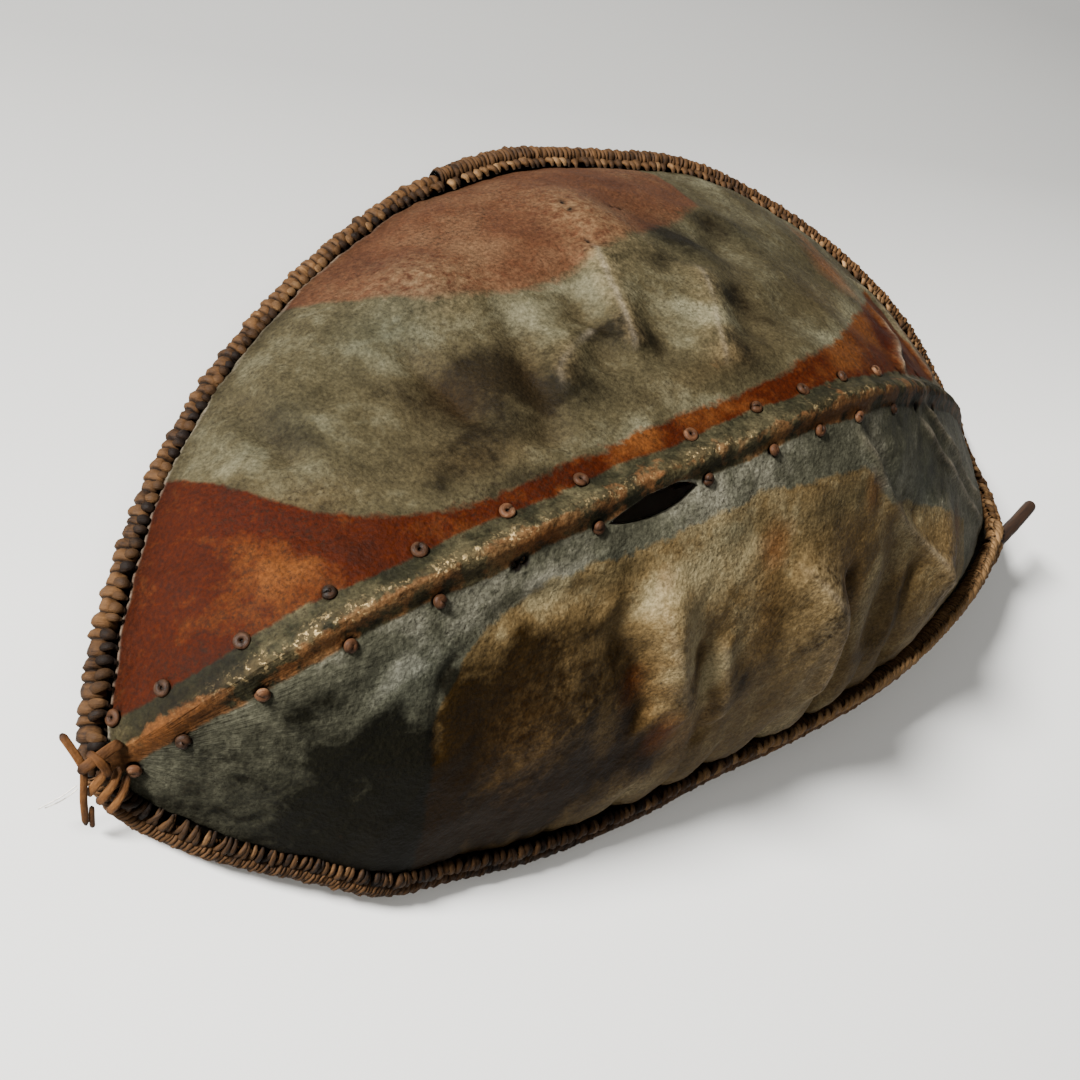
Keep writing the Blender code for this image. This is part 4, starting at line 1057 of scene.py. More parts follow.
# ------------------------------------------------------------------ the pieces
CAMERA_PLACE = (-0.7789, -0.0615, 0.7168)
CAMERA_TURN = (19.980, -39.417, -27.950)
KEY_TOWARDS = (-0.715, 0.555, 0.45)
FILL_TOWARDS = (-0.55, -0.75, 0.80)
MIDDLE = (0.0, 0.0, 0.08)
KEY_TINT = (1.0, 0.985, 0.96)
FILL_TINT = (1.0, 0.96, 0.90)
KEY_DISTANCE = 9.0
FILL_DISTANCE = 2.6
FILL_SIZE = 1.2
PAPER_HALF_WIDTH = 6


def area_light(name, towards, distance, size, power, tint):
    light = bpy.data.lights.new(name, "AREA")
    light.shape = "DISK"
    light.size = size
    light.energy = power
    light.color = tint
    item = bpy.data.objects.new(name, light)
    bpy.context.scene.collection.objects.link(item)
    direction = Vector(towards).normalized()
    item.location = Vector(MIDDLE) + direction * distance
    item.rotation_euler = direction.to_track_quat("Z", "Y").to_euler()


class SHIELD_OT_stage(bpy.types.Operator):
    """Make the camera, the lights, the room light and the paper"""

    bl_idname = "shield.stage"
    bl_label = "Stage"

    def execute(self, context):
        stage = context.scene.shield_stage
        camera = bpy.data.cameras.new("camera")
        camera.sensor_width = 36.0
        camera.lens = stage.lens
        item = bpy.data.objects.new("camera", camera)
        item.location = CAMERA_PLACE
        item.rotation_euler = [math.radians(a) for a in CAMERA_TURN]
        context.scene.collection.objects.link(item)
        context.scene.camera = item
        area_light("key_light", KEY_TOWARDS, KEY_DISTANCE, stage.key_size, stage.key_power,
                   KEY_TINT)
        area_light("fill_light", FILL_TOWARDS, FILL_DISTANCE, FILL_SIZE, stage.fill_power,
                   FILL_TINT)
        world = bpy.data.worlds.new("room")
        context.scene.world = world
        world.use_nodes = True
        background = world.node_tree.nodes["Background"]
        background.inputs["Color"].default_value = (*KEY_TINT, 1.0)
        background.inputs["Strength"].default_value = stage.room_light
        w = PAPER_HALF_WIDTH
        corners = [(-w, -w, 0), (w, -w, 0), (w, w, 0), (-w, w, 0)]
        data = bpy.data.meshes.new("paper")
        data.from_pydata(corners, [], [(0, 1, 2, 3)])
        data.materials.append(paper_with_painted_falloff((*stage.paper, 1.0)))
        paper = bpy.data.objects.new("paper", data)
        context.scene.collection.objects.link(paper)
        return {"FINISHED"}


def hide_grid(step):
    """Rows and columns of the hide as x and signed offset from the rib, and the slit's column."""
    rib = RIB_LINE[(RIB_LINE[:, 0] > LEFT_TIP[0] + 0.002) & (RIB_LINE[:, 0] < RIGHT_TIP[0] - 0.002)]
    run = np.concatenate([[0], np.cumsum(np.linalg.norm(np.diff(rib, axis=0), axis=1))])
    rows = round(run[-1] / step)
    xs = np.interp(np.linspace(0, run[-1], rows), run, rib[:, 0])
    fine_columns = round(FINE_BAND / (step * FINE_STEP))
    sides = {}
    for side, edge, width in ((1, FAR_EDGE, 0.30), (-1, NEAR_EDGE, 0.24)):
        reach = np.abs(on_line(edge, xs)[0] - on_line(RIB_LINE, xs)[0])
        inner = FINE_BAND * np.clip(reach / NARROW_SLOPE, 0, 1)
        columns = round((width - FINE_BAND) / step)
        near = inner[:, None] * np.arange(1, fine_columns + 1) / fine_columns
        share = np.arange(1, columns + 1) / columns
        eased = share + 0.055 * np.sin(share * math.pi)
        beyond = inner[:, None] + (reach - inner)[:, None] * eased
        sides[side] = side * np.hstack([near, beyond])
    offsets = np.hstack([sides[-1][:, ::-1], np.zeros((rows, 1)), sides[1]])
    middle = sides[-1].shape[1]
    slit_column = middle - round(-SLIT_OFFSET / (FINE_BAND / fine_columns))
    return np.broadcast_to(xs[:, None], offsets.shape).copy(), offsets, slit_column


def cut_holes(here, faces, radius):
    """Drops the faces inside each lace hole and moves the corners round it to a true circle.

    Returns the faces that are left, the rim of each hole, and the holes' middles.
    """
    middles = here[faces].mean(1)
    keep = np.ones(len(faces), bool)
    walls, centres = [], []
    for x, offset, _ in lace_holes():
        centre, up = hide_frame(x, offset)
        centres.append(centre)
        away = middles - centre
        near = np.linalg.norm(away, axis=1) < HOLE_SEARCH
        away -= np.outer(away @ up, up)
        inside = near & (np.linalg.norm(away, axis=1) < radius * HOLE_CUT)
        if not inside.any():
            continue
        keep &= ~inside
        gone = set(faces[inside].ravel().tolist())
        touching = np.isin(faces, list(gone)).any(1) & ~inside
        rim = sorted(gone & set(faces[touching & keep].ravel().tolist()))
        spread = here[rim] - centre
        lift = np.outer(spread @ up, up)
        here[rim] = centre + lift + normalised(spread - lift) * radius
        walls.append(set(rim))
    return faces[keep], walls, centres


def hide_mesh(step, depth, sizes):
    """The hide at this depth under its painted face.

    Returns points, normals, faces, layers, the rim of each hole, the slit's lips and its two ends.
    """
    x, plain, slit_column = hide_grid(step)
    rows, columns = x.shape
    open_half = slit_opening(x)
    gap = plain - plain[:, slit_column][:, None]
    push = open_half * np.exp(-np.abs(gap) / SLIT_REACH)
    offset = plain + np.where(np.arange(columns) >= slit_column, 1, -1) * push
    # the slit's own column doubles: the copies are the lips on the two sides
    lip_rows = np.nonzero(open_half[:, 0] > 0.0001)[0]
    lip = plain[lip_rows, slit_column] - open_half[lip_rows, 0]
    flat_x = np.concatenate([x.ravel(), x[lip_rows, slit_column]])
    flat_offset = np.concatenate([offset.ravel(), lip])
    flat_plain = np.concatenate([plain.ravel(), plain[lip_rows, slit_column] - 1e-5])
    t, side = t_at_offset(flat_x, flat_offset)
    here, off_rib, off_rim = base_surface(flat_x, t, side)
    normal = surface_normal(flat_x, t, side)
    ridge = off_rib < 1e-9
    normal[ridge] *= np.sign(normal[ridge][:, 2:3])

    faces = np.array(grid_faces(rows, columns))
    double = {row * columns + slit_column: rows * columns + i for i, row in enumerate(lip_rows)}
    low_side = np.arange(len(faces)) % (columns - 1) == slit_column - 1
    for i in np.nonzero(low_side)[0]:
        faces[i] = [double.get(v, v) for v in faces[i]]

    faces, walls, centres = cut_holes(here, faces, sizes.hole_radius)
    height = hide_height(here, off_rib, off_rim, side, flat_offset, depth == 0)
    lowered, hole_dark = np.zeros(len(here)), np.zeros(len(here))
    (lip_rise, lip_radius, lip_soft), (shade_radius, shade_soft) = HOLE_LIP, HOLE_SHADE
    for (_, _, filled), centre in zip(lace_holes(), centres):
        away = np.linalg.norm(here - centre, axis=1)
        lowered += lip_rise * np.exp(-((away - lip_radius) / lip_soft)**2)
        lowered -= (KNOB_DIMPLE if filled else HOLE_DIMPLE) * np.exp(-(away / DIMPLE_RADIUS)**4)
        hole_dark = np.maximum(hole_dark, smooth((shade_radius - away) / shade_soft))
    # each cut is sunk and painted dark inside as shade
    for cx, cy, length, width, turn in NICKS:
        spot = clouded([(cx, cy, length, width, turn, 1.0)], here[:, 0], here[:, 1])
        lowered -= NICK_DEPTH * spot
        hole_dark = np.maximum(hole_dark, 1.4 * spot)
    points = here + normal * (height + lowered - depth)[:, None]

    layers = paint_layers(here, side, flat_plain)
    layers["hole"] = hole_dark
    lips = set(double) | set(double.values())
    slit_ends = {row * columns + slit_column for row in (lip_rows[0] - 1, lip_rows[-1] + 1)}
    return points, normal, faces, layers, walls, lips, slit_ends


def paint_layers(here, side, offset):
    """Where each paint lies, as distances in metres inside its border, where it is worn, and where
    shade and light are painted.
    """
    x, y = here[:, 0], here[:, 1]
    from_roll = rim_gap(here, side)
    near_edge = np.minimum(table(SLATE_BORDER, x) - y, x - np.interp(y, *np.array(DARK_BORDER).T))
    swelling = clouded(DENTS, x, y) / 0.018
    creased_and_edge_lit = np.zeros_like(x)
    for tall, wide, rubbed, gap, ends in folds_at(x, y):
        swelling += tall / 0.0120 * np.exp(-(gap / wide)**2) * ends
        creased_and_edge_lit = np.maximum(creased_and_edge_lit, rubbed * np.exp(-(gap / 0.0019)**2) * ends)
    # a thin pale line along the far side's trimmed edge on its left half: painted highlight where
    # the edge turns
    lip = 0.6 * np.exp(-((from_roll - trim_line(here, side) - 0.0024) / 0.0013)**2)
    creased_and_edge_lit = np.maximum(creased_and_edge_lit, lip * (side > 0) * smooth((-x - 0.10) / 0.10))
    stains = np.zeros_like(x)
    for cx, cy, radius, strength in STAINS:
        stains += strength * np.exp(-((x - cx)**2 + (y - cy)**2) / radius**2)
    tip = np.hypot(x - LEFT_TIP[0] - 0.01, y)
    angle = np.arctan2(y, x - LEFT_TIP[0] - 0.01)
    fan = np.stack([angle * 26, np.log(tip + 0.02) * 3, np.zeros_like(x)], axis=-1)
    left_near = smooth((-0.285 - x) / 0.03) * (side < 0)
    right_end = smooth((x - 0.20) / 0.10)
    orange = 0.9 * clouded(ORANGE_PLACES, x, offset)
    drift = [0.008 * lumps(here, 0.028, shift) + 0.0035 * lumps(here, 0.010, shift + 5.0)
             for shift in (51.0, 67.0)]
    lower = smooth((0.003 - offset) / 0.005)
    return {
        "near_side": -offset,
        "rust_edge": np.minimum(table(RUST_BORDER, x) - y, table(END_BORDER, y) - x),
        "top_edge": y - table(TOP_BORDER, x), "brown_edge": near_edge,
        "strip_edge": 0.0135 + 0.001 * np.sin(x * 60) - np.abs(offset),
        "lower_flank": 0.60 * lower - 0.32 + 0.42 * clouded(WORN_PLACES, x, offset),
        "orange": orange, "tint": clouded(TINTS, x, y),
        # darker towards the near-left corner, lighter towards the right end
        "clouds": 0.78 * np.tanh(0.95 * clouded(CLOUDS_AND_PAINTED_SHADING, x + drift[0], y + drift[1]))
        - 0.50 * left_near * smooth((0.02 - y) / 0.08) + 0.2 * right_end,
        # relief height, read by the paint for painted highlight on swells and painted shade in
        # hollows
        "swell": np.clip(swelling, -1, 1), "stains": np.clip(stains, 0, 1),
        # painted shade: near black on the margin that runs under the roll, darker within a few
        # centimetres of it
        "seam": np.maximum(trimmed(here, from_roll, side), 0.55 * np.exp(-(from_roll / 0.022)**2)),
        "crease": creased_and_edge_lit,
        "crest": np.exp(-((offset - 0.0005) / 0.0040)**2) * table(CREST_FLECKS_AND_GLINTS, x),
        "inside": np.zeros_like(x),
        "fan": fan, "fan_strength": left_near * np.exp(-tip / 0.15),
    }


class SHIELD_OT_hide(bpy.types.Operator):
    """Make the painted hide with its dents, folds, lace holes and slit, and its plain back"""

    bl_idname = "shield.hide"
    bl_label = "Hide"

    def execute(self, context):
        sizes, paint = context.scene.shield_sizes, context.scene.shield_paint
        step = sizes.hide_step
        points, normal, faces, layers, walls, lips, slit_ends = hide_mesh(step, 0.0, sizes)
        faces = faces.tolist()
        # the cut edges of holes and slit turn down through the hide's thickness
        extra, extra_from = [], []
        lowered = {}

        def under(v):
            if v not in lowered:
                lowered[v] = len(points) + len(extra)
                extra.append(points[v] - normal[v] * HIDE_THICKNESS)
                extra_from.append(v)
            return lowered[v]

        hole_of = {v: i for i, rim in enumerate(walls) for v in rim}
        edges = dict.fromkeys(edge for face in faces for edge in zip(face, face[1:] + face[:1]))
        wall_faces = []
        for a, b in edges:
            if (b, a) in edges:
                continue
            same_hole = a in hole_of and hole_of[a] == hole_of.get(b)
            same_slit = (a in lips or b in lips) and {a, b} <= lips | slit_ends
            if same_hole or same_slit:
                wall_faces.append([b, a, under(a), under(b)])
        if not wall_faces:
            raise RuntimeError("the hide has no holes")
        count = len(extra)
        merged = np.vstack([points, np.array(extra)])
        for key, values in layers.items():
            # the walls of holes and slit get inside = 1, which the paint makes dark as shade
            tail = values[extra_from] if key != "inside" else np.ones(count)
            layers[key] = np.concatenate([values, tail])
        add_piece("hide_face", merged, faces + wall_faces, painted_rawhide(paint),
                  ["hide_panel"], layers)
        points, _, faces, *_ = hide_mesh(step * 2.0, HIDE_THICKNESS, sizes)
        add_piece("hide_back", points, faces[:, ::-1].tolist(), raw_hide_back(paint))
        return {"FINISHED"}


class RimSection:
    """How one stretch of the rim is wound and stitched.  Tuples run from its start to its end."""

    def __init__(self, first, last, fat, out, wrap, slant, tone, shingled, stitch, reach, rise,
                 stitch_tone):
        self.start, self.end = RIM.run_at(first), RIM.run_at(last)
        if self.end <= self.start:
            self.end += RIM.length
        self.fat, self.out = fat, out            # times the roll's radius, how far it is let out
        self.wrap, self.slant, self.tone = wrap, slant, tone
        self.shingled = shingled                 # each turn laps over the next
        self.stitch_gap, self.stitch_wide, self.stitch_thick = stitch
        self.reach, self.rise = reach, rise      # times the stitch's reach, and its height
        self.stitch_tone = stitch_tone

    def along(self, values, run):
        """Values set at even steps along the stretch, read at these runs."""
        share = (run - self.start) / (self.end - self.start)
        return np.interp(share, np.linspace(0, 1, len(values)), values)

    def roll(self, run, sizes):
        """The roll's core radius and its own middle, kept clear of the ground."""
        core = sizes.roll_radius * self.along(self.fat, run)
        middle, ahead, inward, outward = RIM.at(run)
        aside = normalised(outward * (1.0, 1.0, 0.0))
        middle = middle + aside * np.asarray(self.along(self.out, run))[..., None]
        clear = core + 1.9 * sizes.wrap_height + FOOTPRINT_MIDDLE[2]
        middle[..., 2] = np.maximum(middle[..., 2], clear)
        return core, middle, ahead, inward, outward


RIM_SECTIONS = {
    "rim_roll_near_left": RimSection(
        LEFT_TIP, NEAR_CORNER, fat=(0.95, 1.0), out=(0.0028, 0.0003, -0.0022, -0.0018),
        wrap=0.0027, slant=0.30, tone=(0.20, 0.05), shingled=0.0, stitch=(0.0042, 0.0017, 0.0018),
        reach=(1.10, 1.05, 0.98), rise=(0.0026, 0.0028), stitch_tone=(0.10, -0.05)),
    "rim_roll_near": RimSection(
        NEAR_CORNER, SHOULDER, fat=(0.95, 1.05, 1.15, 1.30, 1.42, 1.50, 1.50),
        out=(-0.0018, 0.0010, 0.0005, 0.0012, 0.0012, 0.0010, 0.0010), wrap=0.0027, slant=0.25,
        # tones rise towards the shoulder: painted light on the roll and stitches, which lie in the
        # dome's shade there
        tone=(0.05, -0.10, 0.20, 0.60, 0.90, 0.90), shingled=0.0, stitch=(0.0050, 0.0022, 0.0021),
        reach=(1.00, 1.05, 1.10, 1.35, 1.60, 1.72, 1.72),
        rise=(0.0028, 0.0032, 0.0050, 0.0078, 0.0085),
        stitch_tone=(-0.05, 0.10, 0.40, 1.30, 1.60, 1.60)),
    "rim_roll_far_right": RimSection(
        SHOULDER, FAR_JOINT, fat=(1.25, 1.10, 1.10, 1.15),
        out=(0.0, 0.0008, 0.0004, 0.0014, 0.0014), wrap=0.0046, slant=0.15,
        tone=(0.45, 0.20, 0.10), shingled=0.2, stitch=(0.0076, 0.0027, 0.0023),
        reach=(1.30, 1.15, 1.05), rise=(0.0030, 0.0, -0.0030), stitch_tone=(0.80, 0.40, 0.35)),
    "rim_roll_far_left": RimSection(
        FAR_JOINT, LEFT_TIP, fat=(0.90, 0.82, 0.82, 0.82, 0.90),
        out=(-0.0005, -0.0034, -0.0036, -0.0036, -0.0036, -0.0034, -0.0010, 0.0030, 0.0035),
        wrap=0.0078, slant=0.12, tone=(0.25, 0.10, 0.05), shingled=0.8,
        stitch=(0.0078, 0.0029, 0.0025), reach=(0.95, 0.70, 0.64, 0.64, 0.64, 0.70, 0.85, 0.95),
        rise=(0.0006, 0.0020, 0.0026), stitch_tone=(0.15, -0.15))}
WRAP_STEPS = (0.0, 0.10, 0.30, 0.55, 0.78, 0.93)
WRAP_SIDES = 22


def points_round(run, turn):
    """Places on the unrolled wrapping, for crumples that follow it."""
    return np.stack([run, np.broadcast_to(turn * 0.007, run.shape), np.zeros_like(run)], axis=-1)


def add_wraps(bundle, section, sizes, random):
    """Turns of thong side by side round the rim's rods, each a little different."""
    start, end, pitch = section.start, section.end, section.wrap
    count = round((end - start) / pitch)
    edges = start + (np.arange(count + 1) + random.uniform(-0.20, 0.20, count + 1)) * pitch
    edges[0], edges[-1] = start, end
    slants = section.slant + random.normal(0, 0.10, count + 1)
    bold = min(1.15, pitch / 0.0046)
    proud = bold * sizes.wrap_height * random.uniform(0.55, 1.45, count)
    shades = section.along(section.tone, edges[:-1]) + bold * random.uniform(-0.16, 0.16, count)
    share = np.array(WRAP_STEPS)
    wrap = np.repeat(np.arange(count), len(share))
    share = np.tile(share, count)
    wrap, share = np.append(wrap, count - 1), np.append(share, 1.0)
    turn = np.arange(WRAP_SIDES) / WRAP_SIDES * 2 * math.pi
    low = edges[wrap][:, None] + sizes.roll_radius * slants[wrap][:, None] * np.sin(turn)
    high = edges[wrap + 1][:, None] + sizes.roll_radius * slants[wrap + 1][:, None] * np.sin(turn)
    run = low + (high - low) * share[:, None]
    # each turn's middle stands proud; the thong material paints its edges dark as shade in the
    # grooves
    crest = (1 - np.abs(2 * share - 1)**3)[:, None]
    lap = (1 + section.shingled * (share - 0.45))[:, None]
    wobble = 1 + 0.25 * np.sin(turn * 2 + 1.9 * wrap[:, None])
    core, middle, _, inward, outward = section.roll(run, sizes)
    radius = core + proud[wrap][:, None] * crest * lap * wobble
    radius += 0.0006 * lumps(points_round(run, turn), 0.006, 5.0)
    radius += 0.00045 * lumps(points_round(run, turn), 0.0027, 9.0)
    points = middle + (outward * np.cos(turn)[:, None] + inward * np.sin(turn)[:, None]) \
        * radius[..., None]
    faces = [face[::-1] for face in tube_faces(len(wrap), WRAP_SIDES)]
    strand = np.stack([np.broadcast_to(turn * sizes.roll_radius, run.shape), run,
                       np.broadcast_to(shades[wrap][:, None], run.shape)], axis=-1)
    bundle.add(points.reshape(-1, 3), faces, strand=strand.reshape(-1, 3),
               crest=np.broadcast_to(crest, run.shape).ravel(),
               tone=np.repeat(shades[wrap], WRAP_SIDES))


def add_stitches(bundle, section, sizes, random):
    """Knuckles of thong from the roll's inner shoulder down behind the hide's trimmed edge."""
    count = round((section.end - section.start) / section.stitch_gap)
    for i in range(count):
        run = section.start + (i + 0.5 + random.uniform(-0.16, 0.16)) * section.stitch_gap
        lean = random.uniform(-0.35, 0.35)
        core, middle, ahead, inward, outward = section.roll(np.array([run]), sizes)
        core, middle, ahead, inward, outward = core[0], middle[0], ahead[0], inward[0], outward[0]
        grow = random.uniform(0.80, 1.18)
        reach = sizes.stitch_reach * section.along(section.reach, run) * random.uniform(0.94, 1.06)
        rise = section.along(section.rise, run) + random.uniform(-0.0006, 0.0008)
        profile = [(core * 0.60, rise * 0.4), (core * 0.92, rise * 0.9),
                   ((core + reach) * 0.52, rise), (reach * 0.93, rise - 0.0016),
                   (reach, rise - 0.0044)]
        line = smooth_line([middle + inward * a + outward * b + ahead * lean * (a - core)
                            for a, b in profile], 0.0014)
        share = np.linspace(0, 1, len(line))
        body = np.sin(np.clip(share * 0.8 + 0.12, 0, 1) * math.pi)**0.6
        points, faces, layers = sweep(line, ahead + outward * random.uniform(-0.3, 0.3),
                                      section.stitch_wide * grow * body,
                                      section.stitch_thick * grow * body, sides=9, square=0.8)
        points = points + 0.0006 * lumps(points, 0.0034, 31.0)[:, None] * outward
        tone = section.along(section.stitch_tone, run) + random.uniform(-0.45, 0.60)
        bundle.add(points, faces, tone=tone, **layers)


class SHIELD_OT_rim(bpy.types.Operator):
    """Make the rim: thong wound round the rods, and stitches that hold the hide to them"""

    bl_idname = "shield.rim"
    bl_label = "Rim"

    def execute(self, context):
        sizes = context.scene.shield_sizes
        random = np.random.default_rng(sizes.seed)
        leather = thong_leather("smoked_hide_thong", "150c06", "49321c", "8c6c48", 0.58)
        for name, section in RIM_SECTIONS.items():
            bundle = Bundle()
            add_wraps(bundle, section, sizes, random)
            add_stitches(bundle, section, sizes, random)
            bundle.piece(name + "_thong", leather, [name])
        return {"FINISHED"}


def rib_frame(x):
    """Point and upward normal of the rib in its own lengthwise plane."""
    eps = 0.004
    before, here, after = (np.array((v, *on_line(RIB_LINE, v))) for v in (x - eps, x, x + eps))
    ahead = normalised(after - before)
    up = np.cross(ahead, (0.0, 1.0, 0.0))
    return here, normalised(up if up[2] > 0 else -up)


def grip_drop(x):
    reach = abs(x - GRIP_MIDDLE) / GRIP_HALF_LENGTH
    return GRIP_DROP * math.cos(reach * math.pi / 2)**2 if reach < 1 else 0.0


class SHIELD_OT_stave(bpy.types.Operator):
    """Make the bent wooden stave behind the rib, round on the hide's side and flat behind"""

    bl_idname = "shield.stave"
    bl_label = "Stave"

    def execute(self, context):
        w = STAVE_HALF_WIDTH
        half = [(0.0, STAVE_BOTTOM + 0.0002), (0.86 * w, STAVE_BOTTOM),
                (w, STAVE_BOTTOM - STAVE_CHAMFER), (w, STAVE_SHOULDER), (0.85 * w, STAVE_HAUNCH),
                (0.52 * w, STAVE_TOP + 0.0003), (0.0, STAVE_TOP)]
        mirrored = [(-side, depth) for side, depth in half[-2:0:-1]]
        corners = mirrored[-2:] + half + mirrored[:-2]
        xs = np.linspace(STAVE_START, STAVE_END, 190)
        rings, strands = [], []
        for x in xs:
            here, up = rib_frame(x)
            taper = min(1.0, STAVE_END_SHARE + (x - STAVE_START) / STAVE_TAPER,
                        STAVE_END_SHARE + (STAVE_END - x) / STAVE_TAPER)
            drop = grip_drop(x)
            for j, (side, depth) in enumerate(corners):
                depth = STAVE_TOP + (depth - STAVE_TOP) * taper + drop
                whittled = 0.00035 * noise.noise((x / 0.02, j * 1.7, 4.0))
                rings.append(here + np.array((0, side * taper + whittled, 0)) - up * depth)
                strands.append((x, side, depth))
        wood = bare_hardwood("whittled_hardwood", "23160c", "5a3f28")
        add_piece("stave_wood", rings, tube_faces(len(xs), len(corners)), wood,
                  ["center_stave"], {"strand": np.array(strands)})
        return {"FINISHED"}


# a lashing's curled end, flat or a tight lump: the curl's radius, how far it climbs in metres, and
# its thong's half width and half thickness.  All but the climb are shares of the knob's radius
FLAT_CURL = (0.60, 0.0009, 0.40, 0.33)
LUMP_CURL = (0.34, 0.0016, 0.52, 0.42)


def blunted(share, steepness):
    """1 along a thong and less towards its two cut ends."""
    return np.clip(np.minimum(share, 1 - share) * steepness + 0.35, 0, 1)


def curled_head(place, up, heading, sizes, random, lump):
    """The curled end of a lashing: a thong bent round on itself, flat or as a tight lump."""
    curl, climb, wide, thick = LUMP_CURL if lump else FLAT_CURL
    across = normalised(np.cross(up, (math.cos(heading), math.sin(heading), 0.0)))
    along = np.cross(across, up)
    turns = random.uniform(1.05, 1.30) * 2 * math.pi
    angles = np.linspace(0, turns, 22)
    share = angles / turns
    radius = sizes.knob_radius * (curl - 0.12 * share)
    rise = 0.0004 + climb * share + 0.0003 * np.sin(angles * 1.5)
    line = place + (np.outer(np.cos(angles), along) + np.outer(np.sin(angles), across)) \
        * radius[:, None] + np.outer(rise, up)
    ends = blunted(share, 9)
    return line, sizes.knob_radius * wide * ends, sizes.knob_radius * thick * ends


class SHIELD_OT_laces(bpy.types.Operator):
    """Make the lashings: a thong round the stave, out through the hide and curled to a knob"""

    bl_idname = "shield.laces"
    bl_label = "Lashings"

    def execute(self, context):
        sizes = context.scene.shield_sizes
        random = np.random.default_rng(sizes.seed + 1)
        leather = thong_leather("curled_hide_thong", "120b06", "422a1a", "8c6c50", 0.42)
        for index, x in enumerate(LACE_STATIONS):
            bundle = Bundle()
            route = []
            for side in (1, -1):
                if index == BROKEN_LACE and side < 0:
                    continue
                place, up = hide_frame(x, side * LACE_OFFSET)
                tone = random.uniform(-0.2, 0.6)
                lump = random.uniform() < (0.25 if side > 0 else 0.75)
                line, wide, thick = curled_head(place, up, random.uniform(0, 6.28), sizes,
                                                random, lump)
                bundle.strap(line, up, thick, wide, sides=12, tone=tone)
                route.append(lash_half(x, side, place, up, sizes))
            path = route[0] if len(route) == 1 else route[0] + route[1][::-1]
            line = smooth_line(path, 0.002)
            across = np.tile((1.0, 0.0, 0.0), (len(line), 1))
            bundle.strap(line, across, sizes.thong_radius * 1.15, sizes.thong_radius * 0.8,
                         sides=10, tone=0.1)
            name = f"lace_{index + 1:02d}"
            bundle.piece(f"{name}_thong", leather, [name])
        return {"FINISHED"}


def lash_half(x, side, place, up, sizes):
    """From the knob down the hole and round to the stave's underside, on one side."""
    here, rib_up = rib_frame(x)
    drop = grip_drop(x)
    beside = np.array((0, side * (STAVE_HALF_WIDTH + sizes.thong_radius + 0.0008), 0))
    under = STAVE_BOTTOM + sizes.thong_radius + 0.0004 + drop
    return [place + up * 0.0004, place - up * (HIDE_THICKNESS + 0.001),
            here + beside - rib_up * (STAVE_SHOULDER + 0.001 + drop),
            here + beside * 0.95 - rib_up * (under - 0.0014),
            here + beside * 0.60 - rib_up * under]


# thongs knotted at the left tip: points, half width, half thickness
TIP_THONGS = {
    "tip_tie_far": [([(-0.4882, 0.0216, 0.0352), (-0.4866, 0.0150, 0.0358),
                      (-0.4848, 0.0080, 0.0356), (-0.4830, 0.0010, 0.0345)], 0.0022, 0.0013),
                    ([(-0.4866, 0.0000, 0.0345), (-0.4820, 0.0016, 0.0385),
                      (-0.4760, 0.0034, 0.0405), (-0.4700, 0.0050, 0.0418),
                      (-0.4650, 0.0060, 0.0425), (-0.4622, 0.0064, 0.0400)], 0.0030, 0.0011),
                    ([(-0.4800, 0.0080, 0.0378), (-0.4770, 0.0010, 0.0410),
                      (-0.4745, -0.0040, 0.0395), (-0.4735, -0.0080, 0.0360)], 0.0024, 0.0011)],
    "tip_tie_near": [([(-0.4826, 0.0010, 0.0335), (-0.4836, -0.0060, 0.0295),
                       (-0.4838, -0.0140, 0.0225), (-0.4828, -0.0215, 0.0150),
                       (-0.4816, -0.0275, 0.0085)], 0.0020, 0.0012),
                     ([(-0.4800, -0.0190, 0.0200), (-0.4792, -0.0250, 0.0130),
                       (-0.4782, -0.0300, 0.0070)], 0.0015, 0.0010)],
    "tip_hoop_1": [([(-0.4712, -0.0010, 0.0380), (-0.4760, -0.0062, 0.0355),
                     (-0.4800, -0.0105, 0.0290), (-0.4800, -0.0125, 0.0200)], 0.0024, 0.0012)],
    "tip_hoop_2": [([(-0.4662, -0.0050, 0.0372), (-0.4705, -0.0112, 0.0345),
                     (-0.4755, -0.0165, 0.0285), (-0.4765, -0.0185, 0.0190)], 0.0023, 0.0012),
                   ([(-0.4628, -0.0105, 0.0350), (-0.4662, -0.0172, 0.0320),
                     (-0.4712, -0.0232, 0.0260), (-0.4722, -0.0252, 0.0170)], 0.0022, 0.0012)]}
TIP_FACING = (-0.45, 0.05, 0.90)   # the flat straps lie against the rim, this side out
HAIR = [[(-0.4850, -0.0060, 0.0240), (-0.4930, -0.0085, 0.0190), (-0.5040, -0.0100, 0.0140)],
        [(-0.4850, -0.0080, 0.0230), (-0.4925, -0.0105, 0.0170), (-0.5010, -0.0108, 0.0150)]]
HAIR_RADIUS = 0.00034
ROD = [(0.3960, -0.1200, 0.0520), (0.4180, -0.1180, 0.0545), (0.4520, -0.1110, 0.0575),
       (0.4860, -0.1030, 0.0600)]
ROD_RADIUS = 0.0068
THREAD = [(0.3600, 0.0060, 0.0760), (0.3740, 0.0040, 0.0720), (0.3920, -0.0010, 0.0650),
          (0.4080, -0.0060, 0.0600), (0.4200, -0.0120, 0.0560), (0.4300, -0.0200, 0.0500),
          (0.4240, -0.0270, 0.0500)]
THREAD_RADIUS = 0.00042
UPWARD = (0, 0, 1)


